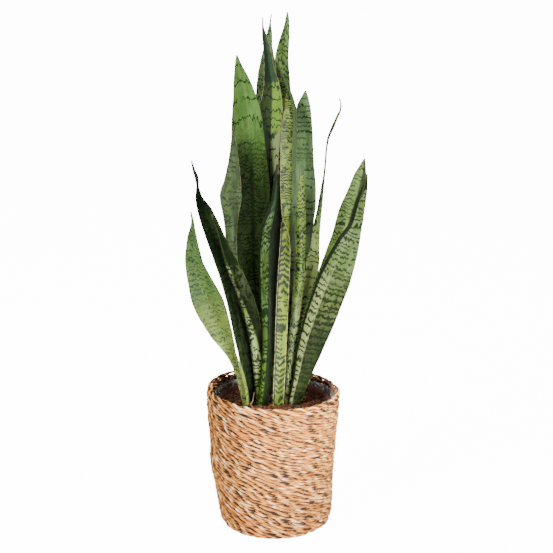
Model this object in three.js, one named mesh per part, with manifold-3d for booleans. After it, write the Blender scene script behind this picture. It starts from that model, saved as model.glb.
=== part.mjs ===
// Potted Ceylon bowstring hemp: a clump of banded leaves in a plastic nursery pot,
// standing with a clear liner in a seagrass basket. Millimetres, +Z up, +Y away from
// the viewer of the front. The origin is the centre of the basket's flat underside.

import * as THREE from 'three';
import { mergeVertices } from 'three/addons/utils/BufferGeometryUtils.js';
import Module from 'manifold-3d';

const wasm = await Module();
wasm.setup();

// ---------------------------------------------------------------- driving dimensions

const CLEARANCE = 0.3;
const TURN = Math.PI * 2;

const BASKET = {
  segments: 32,
  rowPitch: 6,
  rowRelief: 1.1,
  wall: 7,
  floorTop: 8,
  rowsTop: 222,
  rimRadius: 5.5,
  rimCentreRadius: 105,
  rimCentreHeight: 226.5,
  innerHeights: [20, 65, 114, 138, 170, 205, 221],
  // height, outer radius, sideways sway of the hand-made wall
  outline: [
    [0, 86, 3], [5, 92, 3.5], [16, 95, 3.5], [65, 99.5, 0.5],
    [114, 104.5, -2], [138, 105, -0.5], [204, 109.5, -0.5], [232, 109.5, 0],
  ],
};

const LINER = {
  segments: 32,
  film: 0.8,
  top: 215,
  topWave: 3,
  slack: 0.2,
};

const POT = {
  segments: 32,
  floor: 9.4,
  height: 201,
  wall: 1.6,
  baseRadius: 73,
  neckRadius: 91,
  lipRadius: 95,
  lipHeight: 9,
  drainRadius: 5,
  drainRing: 48,
  drainCount: 6,
};

const SOIL = {
  segments: 32,
  rings: 5,
  top: 205,
  lump: 2.2,
};

const LEAF = {
  across: 4,
  stationGap: 34,
  stationTurn: 28,
  baseThickness: 5.2,
  tipThickness: 1.6,
  edgeThickness: 0.9,
  channelSoftness: 0.35,
};

// Every row is one station up a leaf: x, y, z of the midrib, width, turn about the
// vertical in degrees (0 faces the front), and fold in degrees (positive flanks rise
// towards the face, negative ones fall away behind a keel). lean bends the whole leaf
// back, most at its tip, and keel shifts the fold line sideways, in half widths.
const LEAVES = {
  leaf_low_left: {
    colour: 0x7d9a56, ripple: 1.0, rippleLength: 90, lean: -22,
    stations: [
      [-37, -20, 170, 20, -60, 50], [-40, -20, 210, 22, -60, 50],
      [-47, -21, 250, 24, -54, 46], [-60.5, -22, 290, 26, -42, 38],
      [-70, -22, 313, 32, -26, 30], [-81, -23, 336, 43, -17, 24], [-100, -24, 382, 54, -8, 20],
      [-114.5, -25, 420, 42, -5, 17], [-125, -26, 460, 27, -4, 14],
      [-126.5, -27, 492, 16, -2, 12], [-125, -28, 517, 4.5, 0, 10],
      [-127.5, -28, 535, 1.6, 0, 8],
    ],
  },
  leaf_dark_left: {
    colour: 0x33472f, ripple: 0.8, rippleLength: 110, lean: 3,
    stations: [
      [-40, 3, 170, 25, 45, 36], [-41, 3, 210, 28, 44, 34],
      [-47, 5, 270, 34, 42, 30], [-57, 7, 334, 40, 38, 25],
      [-71, 7, 408, 40, 36, 21], [-89, 7, 462, 38, 36, 18],
      [-110, 8, 519, 30, 42, 16], [-121, 10, 551, 16, 57, 14],
      [-121, 11, 566, 5, 40, 11], [-122, 11, 578, 6, 10, 10],
      [-126, 12, 589, 4, 5, 7], [-130, 12, 605, 1.5, 0, 5],
    ],
  },
  leaf_keeled_left: {
    colour: 0x4d6b3f, ripple: 0.6, rippleLength: 100, lean: -18,
    stations: [
      [-22, -8, 170, 22, -25, -40], [-24, -8, 206, 24, -25, -40],
      [-29.5, -8, 283, 28, -27, -37], [-38.5, -9, 340, 35, -29, -36],
      [-48, -11, 380, 37, -30, -34], [-62, -10, 427, 29, -25, -24],
      [-77, -9, 472, 14, -18, -14], [-85, -8, 498, 6, -9, -8],
      [-97, -8, 526, 1.6, 0, 0],
    ],
  },
  leaf_broad_rear_left: {
    colour: 0x55803d, ripple: 1.4, rippleLength: 130, lean: 12,
    stations: [
      [-20, 25, 170, 26, 10, 34], [-22, 25, 200, 29, 10, 32],
      [-26, 27, 290, 37, 9, 28], [-32, 33, 390, 46, 8, 23],
      [-36, 36, 470, 58, 6, 17], [-37, 34, 545, 65, 6, 14],
      [-40, 32, 619, 57, 4, 13], [-42, 30, 672, 49, 2, 13],
      [-45, 30, 700, 39, 2, 12], [-50, 30, 728, 26, 1, 11],
      [-55, 30, 752, 12, 0, 10], [-57.5, 30, 769, 1.6, 0, 8],
    ],
  },
  leaf_turned_rear_left: {
    colour: 0x7c9c58, ripple: 0.5, rippleLength: 120, lean: 3,
    stations: [
      [-41, 24, 170, 20, 30, 26], [-43, 23, 200, 21, 30, 24],
      [-50, 22, 290, 22, 27, 14], [-60, 18.5, 376, 20, 24, 0],
      [-67, 17, 454, 17, 16, -8], [-68, 17, 490, 20, 12, -9],
      [-68, 15, 520, 27, 10, -8], [-68, 14, 547, 35, 5, -8],
      [-65, 14, 572, 27, 4, -8], [-63, 15, 610, 15, 2, -8],
      [-63, 16, 645, 5, 0, -7], [-64, 16, 661, 1.5, 0, -6],
    ],
  },
  leaf_tall_grooved: {
    colour: 0x5f8a3e, ripple: 0.6, rippleLength: 120, lean: 14,
    stations: [
      [-8, 41, 170, 20, -10, 32], [-8, 41, 200, 22, -10, 30],
      [-4, 41, 330, 29, -9, 27], [-3, 42, 480, 32, -9, 24],
      [-4.5, 41, 600, 31, -8, 25], [-3.5, 39, 653, 38, -8, 26],
      [-2, 38, 682, 41, -8, 26], [-1.5, 38, 712, 31, -6, 24],
      [-6, 39, 747, 18, -4, 23], [-9, 39, 771, 13, -3, 20],
      [-14, 40, 799, 7, -2, 15], [-16.5, 40, 814, 2.2, -1, 12],
      [-16.5, 40, 827, 1.4, 0, 10],
    ],
  },
  leaf_tall_rear: {
    colour: 0x4e7339, ripple: 1.0, rippleLength: 120, lean: 45,
    stations: [
      [-16, 62, 170, 22, 5, 30], [-16, 62, 200, 25, 5, 28],
      [-8, 68, 449, 46, 3, 20], [-5, 72, 615, 50, 2, 16],
      [-8, 71, 704, 42, 1, 14], [-9.5, 70, 740, 30, 1, 12],
      [-8.8, 69, 764, 20, 1, 11], [-8, 67, 781, 13, 0, 10],
      [-6, 67, 800, 8.5, 0, 9], [-4.8, 66, 818, 2, 0, 9],
      [-3, 66, 830, 1.4, 0, 8],
    ],
  },
  leaf_twisted_centre: {
    colour: 0x8aa45c, ripple: 0.4, rippleLength: 90, lean: 14,
    stations: [
      [7, -18, 170, 18, 0, 26], [8, -18, 205, 19, 0, 25],
      [11, -20, 283, 19.5, 0, 23], [15, -22, 386, 21, -4, 21],
      [18.5, -20, 450, 20, -8, 24], [22, -18, 488, 22, -28, 44],
      [26, -16, 512, 26, -85, 54], [27, -13, 538, 29, -140, 42],
      [26.5, -8, 577, 31, -155, 32], [27, 3, 623, 31, -156, 30],
      [28, 12, 655, 30, -156, 30], [29.5, 23, 684, 25, -158, 32],
      [25.5, 35, 702, 23, -158, 32], [19.5, 42, 718, 20, -156, 30],
      [12, 45, 736, 14, -154, 24], [7, 46, 750, 6.5, -150, 16],
      [4, 46, 757, 1.6, -150, 10],
    ],
  },
  leaf_tall_right: {
    colour: 0x7d9a56, ripple: 0.8, rippleLength: 110, lean: 30,
    stations: [
      [10, 52, 170, 20, 0, 32], [10, 52, 200, 22, 0, 30],
      [8, 55, 400, 32, 0, 22], [12, 57, 600, 34, 0, 18],
      [15, 58, 700, 27, 0, 14], [14, 58, 735, 25, 0, 12],
      [13.5, 58, 758, 22.5, 0, 12], [16.5, 58, 782, 17.5, 0, 12],
      [20.5, 58, 804, 11.5, 0, 11], [22.6, 58, 825, 5, 0, 10],
      [22.4, 58, 834, 1.5, 0, 8],
    ],
  },
  leaf_rear_right: {
    colour: 0x6f8c62, ripple: 1.0, rippleLength: 120, lean: 28,
    stations: [
      [25, 36, 170, 21, 0, 34], [26, 36, 200, 22, 0, 33],
      [30, 35, 305, 31, 0, 29], [34.5, 34, 400, 40, 0, 25],
      [40.5, 33, 468, 44, 0, 23], [46.5, 34, 535, 48, 0, 20],
      [48, 37, 598, 37, 0, 19], [48.5, 39, 659, 29, 0, 17],
      [49, 39, 685, 22, 0, 14], [51, 39, 701, 11, 0, 11],
      [52, 39, 711, 1.6, 0, 8],
    ],
  },
  leaf_narrow_right: {
    colour: 0x93a86e, ripple: 0.4, rippleLength: 80, lean: -8,
    stations: [
      [22, 0, 170, 14, -10, -42], [23.5, 0, 203, 14, -10, -42],
      [27, 1, 276, 15, -9, -40], [34, 2, 336, 20, -8, -39],
      [38.5, 2, 385, 20, -8, -37], [43, 2, 440, 17.5, -6, -32],
      [44, 3, 504, 17.5, -3, -25], [44.5, 4, 545, 14, -1, -20],
      [45.5, 4, 573, 9.5, 0, -17], [46.6, 4, 592, 1.6, 0, -15],
    ],
  },
  leaf_rolled_right: {
    colour: 0x5c7a48, ripple: 0.0, rippleLength: 80, lean: 8,
    stations: [
      [44, 19, 170, 15, 0, 36], [44.5, 19, 200, 16, 0, 34],
      [48, 17, 310, 20, -4, 25], [56, 15, 392, 20, -8, 17],
      [63.5, 13, 436, 23, -10, 12], [67, 12, 464, 16, -4, 16],
      [69.2, 11, 496, 13, 7, 26], [74, 9, 532, 9, 18, 32],
      [78, 7, 563, 5.5, 16, 34], [81.5, 5, 590, 3.2, 14, 36],
      [83.4, 3, 618, 3.0, 10, 38], [86, 1, 640, 3.8, 8, 34],
      [92, 0, 656, 4.6, 6, 28], [100, -1, 675, 3.6, 3, 20],
      [105.6, -2, 690, 2.2, 2, 14], [105.5, -3, 698, 1.6, 0, 12],
      [103, -3, 704, 1.5, 0, 10],
    ],
  },
  leaf_keeled_right: {
    colour: 0x8ba463, ripple: 0.5, rippleLength: 70, lean: -26, keel: -0.2,
    stations: [
      [28, -16, 170, 22, -20, -38], [32, -16, 206, 25, -20, -38],
      [43, -18, 252, 34, -20, -36], [54, -20, 299, 49, -20, -33],
      [71, -23, 355, 57, -20, -30], [87, -25, 402, 58, -19, -27],
      [102, -26, 442, 51, -17, -22], [116, -26, 480, 38, -15, -17],
      [128, -26, 512, 22, -11, -9], [135, -26, 548, 16.5, -6, -4],
      [140.5, -26, 571, 9.5, -3, -2], [144.5, -26, 594, 1.6, 0, 0],
    ],
  },
  leaf_low_right: {
    colour: 0x93ab6a, ripple: 0.8, rippleLength: 90, lean: 10,
    stations: [
      [36, 7, 170, 15, 15, 30], [39, 7, 202, 17, 15, 28],
      [49, 9, 300, 26, 12, 22], [68, 7, 373, 33, 11, 18],
      [90, 3, 431, 34, 10, 15], [109, 1, 485, 33, 8, 12],
      [119, 0, 523, 32, 6, 11], [130, -1, 555, 26, 4, 10],
      [137, -2, 580, 21, 2, 9], [141, -2, 595, 12, 1, 9],
      [144.4, -3, 610, 1.5, 0, 8],
    ],
  },
  leaf_keeled_front: {
    colour: 0x6d9347, ripple: 0.5, rippleLength: 90,
    stations: [
      [-21, -25, 170, 23, -10, -42], [-19, -25, 204, 25, -10, -42],
      [-13, -24, 262, 22, -8, -40], [-9, -22, 330, 27, -6, -37],
      [-8.5, -18, 384, 34, -5, -35], [-7.5, -12, 455, 38, -4, -29],
      [-4, -8, 495, 34, -2, -25], [1.5, -4, 523, 23, -2, -21],
      [5, 0, 547, 15, -1, -17], [6.5, 3, 573, 10.5, 0, -13],
      [8.8, 5, 590, 1.6, 0, -10],
    ],
  },
};

// ---------------------------------------------------------------- shared helpers

const radians = (degrees) => (degrees * Math.PI) / 180;

// Slopes that carry a smooth line through given points without overshoot.
function easySlopes(at, value) {
  const step = at.slice(1).map((t, i) => (value[i + 1] - value[i]) / (t - at[i]));
  return value.map((_, i) => {
    if (i === 0) return step[0];
    if (i === step.length) return step[i - 1];
    const before = step[i - 1];
    const after = step[i];
    return before * after <= 0 ? 0 : (2 * before * after) / (before + after);
  });
}

// A smooth line through (at, value), read at t.
function easyLine(at, value) {
  const slope = easySlopes(at, value);
  return (t) => {
    let i = 0;
    while (i < at.length - 2 && t > at[i + 1]) i += 1;
    const span = at[i + 1] - at[i];
    const k = Math.min(Math.max((t - at[i]) / span, 0), 1);
    const rest = 1 - k;
    const near = rest * rest * ((1 + 2 * k) * value[i] + k * span * slope[i]);
    const far = k * k * ((1 + 2 * rest) * value[i + 1] - rest * span * slope[i + 1]);
    return near + far;
  };
}

function geometryFrom(points, faces) {
  const geometry = new THREE.BufferGeometry();
  const flat = points.flatMap((p) => [p.x, p.y, p.z]);
  geometry.setAttribute('position', new THREE.Float32BufferAttribute(flat, 3));
  geometry.setIndex(faces.flat());
  geometry.computeVertexNormals();
  return geometry;
}

// Turns a profile about the vertical axis; rows at radius 0 become a single point.
// The profile runs so that its material lies on the left. place(r, z, angle) sets a point.
function revolve(profile, segments, place) {
  const points = [];
  const rows = profile.map(([r, z]) => {
    const first = points.length;
    const count = r === 0 ? 1 : segments;
    for (let i = 0; i < count; i += 1) points.push(place(r, z, (i / segments) * TURN));
    return (i) => first + (count === 1 ? 0 : i % segments);
  });
  const faces = [];
  const closed = profile[0][0] > 0;
  const last = closed ? rows.length : rows.length - 1;
  for (let row = 0; row < last; row += 1) {
    const low = rows[row];
    const high = rows[(row + 1) % rows.length];
    for (let i = 0; i < segments; i += 1) {
      if (low(0) !== low(1)) faces.push([low(i), low(i + 1), high(i + 1)]);
      if (high(0) !== high(1)) faces.push([low(i), high(i + 1), high(i)]);
    }
  }
  return geometryFrom(points, faces);
}

function toSolid(geometry) {
  return new wasm.Manifold(new wasm.Mesh({
    numProp: 3,
    vertProperties: new Float32Array(geometry.getAttribute('position').array),
    triVerts: new Uint32Array(geometry.getIndex().array),
  }));
}

function fromSolid(solid) {
  const mesh = solid.getMesh();
  const geometry = new THREE.BufferGeometry();
  geometry.setAttribute('position', new THREE.BufferAttribute(mesh.vertProperties, 3));
  geometry.setIndex(new THREE.BufferAttribute(mesh.triVerts, 1));
  geometry.computeVertexNormals();
  return geometry;
}

function piece(name, geometry, colour, roughness) {
  const material = new THREE.MeshStandardMaterial({ color: colour, roughness, metalness: 0 });
  const mesh = new THREE.Mesh(geometry, material);
  mesh.name = name;
  return mesh;
}

// ---------------------------------------------------------------- basket

const basketHeights = BASKET.outline.map((row) => row[0]);
const basketRadius = easyLine(basketHeights, BASKET.outline.map((row) => row[1]));
const basketSway = easyLine(basketHeights, BASKET.outline.map((row) => row[2]));

const basketInside = (z) => basketRadius(z) - BASKET.wall;

function inBasket(r, z, angle) {
  return new THREE.Vector3(r * Math.cos(angle) + basketSway(z), r * Math.sin(angle), z);
}

// Stacked rows of twisted grass: each row is a ridge between two grooves.
function basketProfile() {
  const profile = [[0, 0], [basketRadius(0), 0]];
  const rows = Math.round(BASKET.rowsTop / BASKET.rowPitch);
  for (let row = 0; row < rows; row += 1) {
    const ridge = (row + 0.5) * BASKET.rowPitch;
    const groove = (row + 1) * BASKET.rowPitch;
    profile.push([basketRadius(ridge) + BASKET.rowRelief / 2, ridge]);
    profile.push([basketRadius(groove) - BASKET.rowRelief / 2, groove]);
  }
  for (let step = 0; step <= 6; step += 1) {
    const around = radians(-30 + 40 * step);
    profile.push([
      BASKET.rimCentreRadius + BASKET.rimRadius * Math.cos(around),
      BASKET.rimCentreHeight + BASKET.rimRadius * Math.sin(around),
    ]);
  }
  for (const z of [...BASKET.innerHeights].reverse()) profile.push([basketInside(z), z]);
  profile.push([basketInside(BASKET.floorTop) - 3, BASKET.floorTop]);
  profile.push([0, BASKET.floorTop]);
  return profile;
}

function basket() {
  const geometry = revolve(basketProfile(), BASKET.segments, inBasket);
  return piece('seagrass_basket', geometry, 0xc9a474, 0.85);
}

// ---------------------------------------------------------------- liner

// A clear film cup against the basket's inner face, its top edge a little uneven.
function liner() {
  const face = (z) => basketInside(z) - CLEARANCE - LINER.slack;
  const floor = BASKET.floorTop + CLEARANCE;
  const heights = [...BASKET.innerHeights.slice(0, -1), LINER.top];
  const outside = heights.map((z) => [face(z), z]);
  const inside = heights.map((z) => [face(z) - LINER.film, z]).reverse();
  const corner = face(BASKET.floorTop) - 3.5;
  const profile = [[0, floor], [corner, floor], ...outside, ...inside];
  profile.push([corner - LINER.film, floor + LINER.film], [0, floor + LINER.film]);
  const geometry = revolve(profile, LINER.segments, (r, z, angle) => {
    const wave = z === LINER.top ? LINER.topWave * Math.sin(3 * angle + 0.6) : 0;
    return inBasket(r, z + wave, angle);
  });
  return piece('clear_liner', geometry, 0xdfe4e4, 0.25);
}

// ---------------------------------------------------------------- nursery pot

const potTop = POT.floor + POT.height;

function potRadius(z) {
  const rise = (z - POT.floor) / (POT.height - POT.lipHeight);
  return POT.baseRadius + (POT.neckRadius - POT.baseRadius) * rise;
}

function drainCutter(index) {
  const angle = (index / POT.drainCount) * TURN;
  const hole = new THREE.CylinderGeometry(POT.drainRadius, POT.drainRadius, 8, 12);
  hole.rotateX(Math.PI / 2);
  hole.translate(POT.drainRing * Math.cos(angle), POT.drainRing * Math.sin(angle), POT.floor);
  hole.deleteAttribute('normal');
  hole.deleteAttribute('uv');
  return mergeVertices(hole);
}

function nurseryPot() {
  const neck = potTop - POT.lipHeight;
  const profile = [
    [0, POT.floor],
    [POT.baseRadius - 2, POT.floor],
    [POT.baseRadius, POT.floor + 2],
    [POT.neckRadius, neck],
    [POT.lipRadius, neck + 1],
    [POT.lipRadius, potTop - 1],
    [POT.lipRadius - 1, potTop],
    [POT.lipRadius - 2.4, potTop],
    [potRadius(neck) - POT.wall, neck - 1],
    [POT.baseRadius - POT.wall, POT.floor + 3],
    [POT.baseRadius - POT.wall - 1.5, POT.floor + POT.wall],
    [0, POT.floor + POT.wall],
  ];
  const shell = revolve(profile, POT.segments, (r, z, angle) => (
    new THREE.Vector3(r * Math.cos(angle), r * Math.sin(angle), z)
  ));
  let solid = toSolid(shell);
  for (let index = 0; index < POT.drainCount; index += 1) {
    solid = solid.subtract(toSolid(drainCutter(index)));
  }
  return piece('nursery_pot', fromSolid(solid), 0x5b3a31, 0.5);
}

// ---------------------------------------------------------------- leaves

// One leaf as smooth lines of its six station values over its length.
function leafLines({ stations, lean }) {
  const along = [0];
  for (let i = 1; i < stations.length; i += 1) {
    const gap = Math.hypot(...[0, 1, 2].map((k) => stations[i][k] - stations[i - 1][k]));
    along.push(along[i - 1] + gap);
  }
  const lines = [0, 1, 2, 3, 4, 5].map((k) => easyLine(along, stations.map((row) => row[k])));
  return { length: along[along.length - 1], along, lines, lean: lean ?? 0 };
}

// The midrib point with the leaf's side and face directions there.
function leafFrame({ lines, length, lean }, s) {
  const back = (t) => lines[1](t) + lean * (t / length) ** 2;
  const spot = (t) => new THREE.Vector3(lines[0](t), back(t), lines[2](t));
  const below = spot(Math.max(s - 1, 0));
  const above = spot(Math.min(s + 1, length));
  const up = above.sub(below).normalize();
  const turn = radians(lines[4](s));
  const side = new THREE.Vector3(Math.cos(turn), Math.sin(turn), 0);
  side.addScaledVector(up, -side.dot(up)).normalize();
  const face = new THREE.Vector3().crossVectors(side, up);
  return { at: spot(s), side, face };
}

// Front and back points across one station. The flanks follow a soft V, the blade is
// thickest at the midrib, and swell makes the hole that the leaf stands in.
function leafSection(leaf, shape, s, swell) {
  const { lines, length } = shape;
  const frame = leafFrame(shape, s);
  const half = lines[3](s) / 2 + swell;
  const fold = radians(lines[5](s));
  const soft = LEAF.channelSoftness;
  const reach = Math.hypot(1, soft) - soft;
  const ribs = LEAF.baseThickness + (LEAF.tipThickness - LEAF.baseThickness) * (s / length);
  const rib = Math.min(ribs, LEAF.edgeThickness + half * 0.6);
  const wave = leaf.ripple * Math.sin((s / leaf.rippleLength) * TURN);
  const keel = leaf.keel ?? 0;
  const front = [];
  const back = [];
  for (let j = 0; j <= LEAF.across; j += 1) {
    const u = (2 * j) / LEAF.across - 1;
    const flank = u - keel;
    const out = half * Math.cos(fold) * u;
    const lift = half * Math.sin(fold) * ((Math.hypot(flank, soft) - soft) / reach);
    const slope = (Math.tan(fold) * flank) / (Math.hypot(flank, soft) * reach);
    const steep = Math.hypot(1, slope);
    const ripple = wave * u * u * u * Math.min(1, half / 12);
    const thick = LEAF.edgeThickness + (rib - LEAF.edgeThickness) * (1 - u * u) + 2 * swell;
    for (const [list, sign] of [[front, 0.5], [back, -0.5]]) {
      list.push(frame.at.clone()
        .addScaledVector(frame.side, out - (sign * thick * slope) / steep)
        .addScaledVector(frame.face, lift + ripple + (sign * thick) / steep));
    }
  }
  return { front, back };
}

// Places up the leaf where a section stands: every station, and more between stations
// that are far apart or turned against each other.
function leafPlaces({ stations }, along, top) {
  const places = [0];
  for (let i = 1; i < along.length; i += 1) {
    const gap = along[i] - along[i - 1];
    const turned = Math.abs(stations[i][4] - stations[i - 1][4]);
    const count = Math.ceil(Math.max(gap / LEAF.stationGap, turned / LEAF.stationTurn));
    for (let k = 1; k <= count; k += 1) places.push(along[i - 1] + (gap * k) / count);
  }
  return places.filter((s) => s <= top);
}

// Both faces are split into triangles alike, so a thin blade never crosses itself.
function leafSolid(leaf, swell = 0, top = Infinity) {
  const shape = leafLines(leaf);
  const places = leafPlaces(leaf, shape.along, top);
  const points = [];
  for (const s of places) {
    const { front, back } = leafSection(leaf, shape, s, swell);
    points.push(...front, ...back);
  }
  const wide = LEAF.across + 1;
  const front = (i, j) => i * 2 * wide + j;
  const back = (i, j) => i * 2 * wide + wide + j;
  const faces = [];
  for (let i = 0; i < places.length - 1; i += 1) {
    for (let j = 0; j < LEAF.across; j += 1) {
      faces.push([front(i, j), front(i, j + 1), front(i + 1, j + 1)]);
      faces.push([front(i, j), front(i + 1, j + 1), front(i + 1, j)]);
      faces.push([back(i, j), back(i + 1, j + 1), back(i, j + 1)]);
      faces.push([back(i, j), back(i + 1, j), back(i + 1, j + 1)]);
    }
    for (const [j, flip] of [[0, true], [LEAF.across, false]]) {
      const edge = [front(i, j), back(i, j), back(i + 1, j), front(i + 1, j)];
      const [a, b, c, d] = flip ? edge.reverse() : edge;
      faces.push([a, b, c], [a, c, d]);
    }
  }
  const end = places.length - 1;
  for (let j = 0; j < LEAF.across; j += 1) {
    faces.push([front(0, j), back(0, j), back(0, j + 1)]);
    faces.push([front(0, j), back(0, j + 1), front(0, j + 1)]);
    faces.push([front(end, j), back(end, j + 1), back(end, j)]);
    faces.push([front(end, j), front(end, j + 1), back(end, j + 1)]);
  }
  return geometryFrom(points, faces);
}

function leaves() {
  return Object.entries(LEAVES).map(([name, leaf]) => (
    piece(name, leafSolid(leaf), leaf.colour, 0.42)
  ));
}

// ---------------------------------------------------------------- soil

function soilHeight(r, angle) {
  const x = r * Math.cos(angle);
  const y = r * Math.sin(angle);
  const lumps = Math.sin(x / 9 + 1.3) * Math.cos(y / 11) + 0.6 * Math.sin(x / 5 - y / 6);
  return SOIL.top + SOIL.lump * 0.6 * lumps - (r / 90) ** 2 * 2;
}

function soil() {
  const edge = potTop - POT.lipHeight - 1;
  const wall = potRadius(potTop - POT.lipHeight) - POT.wall - CLEARANCE;
  const foot = POT.baseRadius - POT.wall - CLEARANCE;
  const bottom = POT.floor + POT.wall + CLEARANCE;
  const profile = [[0, bottom], [foot - 1.6, bottom], [foot, POT.floor + 3.5], [wall, edge - 2]];
  for (let ring = SOIL.rings; ring >= 0; ring -= 1) {
    profile.push([(ring / SOIL.rings) * (wall - 0.5), SOIL.top]);
  }
  const mound = revolve(profile, SOIL.segments, (r, z, angle) => {
    const height = z === SOIL.top ? soilHeight(r, angle) : z;
    return new THREE.Vector3(r * Math.cos(angle), r * Math.sin(angle), height);
  });
  let solid = toSolid(mound);
  for (const leaf of Object.values(LEAVES)) {
    solid = solid.subtract(toSolid(leafSolid(leaf, CLEARANCE, 90)));
  }
  return piece('potting_soil', fromSolid(solid), 0x4a2f24, 0.95);
}

const model = new THREE.Group();
model.name = 'potted_ceylon_bowstring_hemp';
model.add(basket(), liner(), nurseryPot(), soil(), ...leaves());

export default model;
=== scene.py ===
"""Potted Ceylon bowstring hemp: banded leaves in a nursery pot and a seagrass basket.

Tables of shape are in millimetres, as in the CAD source, with the origin at the centre
of the basket's underside, +Z up and +Y away from the viewer. Meshes are in metres.
"""

import itertools
import logging
import math
from dataclasses import dataclass, field
from enum import Enum, IntEnum
from typing import Callable, Sequence

import bpy
import numpy as np
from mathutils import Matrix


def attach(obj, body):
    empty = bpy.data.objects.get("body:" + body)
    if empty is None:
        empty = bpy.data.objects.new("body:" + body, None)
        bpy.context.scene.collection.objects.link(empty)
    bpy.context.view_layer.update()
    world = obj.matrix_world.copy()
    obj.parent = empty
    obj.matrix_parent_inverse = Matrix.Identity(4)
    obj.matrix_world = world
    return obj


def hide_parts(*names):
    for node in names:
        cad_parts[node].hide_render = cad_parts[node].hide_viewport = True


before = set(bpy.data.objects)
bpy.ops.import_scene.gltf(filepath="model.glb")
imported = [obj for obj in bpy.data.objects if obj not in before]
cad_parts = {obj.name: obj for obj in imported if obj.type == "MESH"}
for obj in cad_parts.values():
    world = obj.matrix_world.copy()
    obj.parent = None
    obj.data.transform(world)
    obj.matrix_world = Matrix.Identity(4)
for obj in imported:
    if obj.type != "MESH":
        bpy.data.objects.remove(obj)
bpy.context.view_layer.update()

LOG = logging.getLogger("bowstring_hemp")
MM = 0.001
TURN = 2 * math.pi
BODY = "root"
MARKS = "lay"
PHOTO_PIXELS = 553
TABLE_SIZE = 4096
SPREAD_PRIMES = (73856093, 19349663, 83492791)
NEAR_AXIS = 0.01
LAMP_TINT = (1.0, 0.985, 0.96)

# Steps that keep the patterns of rings, plies and blades of grass apart.
RING_STEP = 10
PLY_STEP = 97.0
BLADE_STEP = 1.37
TURN_STEP = 5.73

# Sockets of a Mix node for colours: share, first and second go in, the blend comes out.
MIX_IN, MIX_OUT = (0, 6, 7), 2

# How the lights change a leaf's colour: they brighten, grey and warm it.
DIM = 0.55
VIVID = 1.2
LESS_RED = (0.88, 1.0, 0.97)
EYE_WEIGHTS = (0.3, 0.59, 0.11)

# Colours every leaf paints: painted shade, a painted highlight on its keel line, and its dead
# tip.
DEEP_SHADE = "#081203"
RIDGE_HIGHLIGHT = "#e2e0ae"
DRY_TIP = "#7d6f58"

# Two numbers: where something starts and is full, its limits, or its width and height.
Pair = tuple[float, float]

# Three numbers for a place, and red, green, blue and alpha for a colour.
Place = tuple[float, float, float]
Colour = tuple[float, float, float, float]

# Four marks for the points of a mesh, each an array that fits them or one number.
Marks = Sequence[np.ndarray | float]
NO_MARKS = (0.0, 0.0, 0.0, 0.0)


class Seed(IntEnum):
    """Picks the random draws of each piece."""

    LINER = 31
    MIX = 41
    CRUMBS = 51
    FIBRES = 52
    GRASS_ENDS = 77
    LOWER_ROWS = 100
    UPPER_ROWS = 600
    BASE = 900
    RIM = 1501


# ------------------------------------------------------------------ shared numbers

def paint(code: str) -> Colour:
    """Turns a colour as seen on screen into the linear values a shader takes.

    Args:
        code: Six hexadecimal digits after a hash.

    Returns:
        Red, green, blue and an alpha of 1.
    """
    seen = [int(code[i:i + 2], 16) / 255 for i in (1, 3, 5)]
    red, green, blue = (c / 12.92 if c <= 0.04045 else ((c + 0.055) / 1.055) ** 2.4
                        for c in seen)
    return red, green, blue, 1.0


def grey(level: float) -> Colour:
    """A grey of that linear level."""
    return level, level, level, 1.0


def smooth_line(at: Sequence[float], values: Sequence[float], where: np.ndarray) -> np.ndarray:
    """Reads a smooth line through given points.

    Each span is a cubic. Its slope at an inner point is the harmonic mean of the steps
    on both sides, or level where they turn, so the line never overshoots.

    Args:
        at: Places of the given points, rising.
        values: The line's values there.
        where: Places to read it at.

    Returns:
        The line's value at each place.
    """
    at, values = np.asarray(at, float), np.asarray(values, float)
    step = np.diff(values) / np.diff(at)
    before, after = step[:-1], step[1:]
    rising = before * after > 0
    inner = np.where(rising, 2 * before * after / np.where(rising, before + after, 1), 0)
    slope = np.concatenate([step[:1], inner, step[-1:]])
    i = np.clip(np.searchsorted(at, where, side="right") - 1, 0, len(at) - 2)
    span = at[i + 1] - at[i]
    k = np.clip((where - at[i]) / span, 0, 1)
    rest = 1 - k
    near = rest ** 2 * ((1 + 2 * k) * values[i] + k * span * slope[i])
    far = k ** 2 * ((1 + 2 * rest) * values[i + 1] - rest * span * slope[i + 1])
    return near + far


def lumps(coords: np.ndarray, cell: float | Sequence[float], seed: int) -> np.ndarray:
    """Seeded smooth unevenness between -1 and 1.

    Random values sit on a grid of cells. Between them they are blended along each axis
    by the ease 3t^2 - 2t^3.

    Args:
        coords: Points, with their coordinates in the last axis.
        cell: Size of a cell, one for all axes or one for each.
        seed: Picks the random values.

    Returns:
        One value for each point.
    """
    table = np.random.default_rng(seed).uniform(-1, 1, TABLE_SIZE)
    scaled = coords / np.asarray(cell, float)
    base = np.floor(scaled).astype(np.int64)
    part = scaled - base
    part = part * part * (3 - 2 * part)
    spread = np.array(SPREAD_PRIMES[:coords.shape[-1]])
    total = np.zeros(coords.shape[:-1])
    for corner in itertools.product((0, 1), repeat=coords.shape[-1]):
        weight = np.where(corner, part, 1 - part).prod(axis=-1)
        index = np.bitwise_xor.reduce((base + corner) * spread, axis=-1) % TABLE_SIZE
        total += weight * table[index]
    return total


def uneven(coords: np.ndarray, layers: Sequence[tuple], seed: int) -> np.ndarray:
    """Sum of layers of lumps, each given as its height and its cell size."""
    return sum(height * lumps(coords, cell, seed + k)
               for k, (height, cell) in enumerate(layers))


def turned(across: np.ndarray, angle: np.ndarray, height: np.ndarray) -> np.ndarray:
    """Points at a radius, an angle about the upright axis and a height."""
    across, angle, height = np.broadcast_arrays(across, angle, height)
    return np.stack([across * np.cos(angle), across * np.sin(angle), height], axis=-1)


# ------------------------------------------------------------------ mesh building

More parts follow.
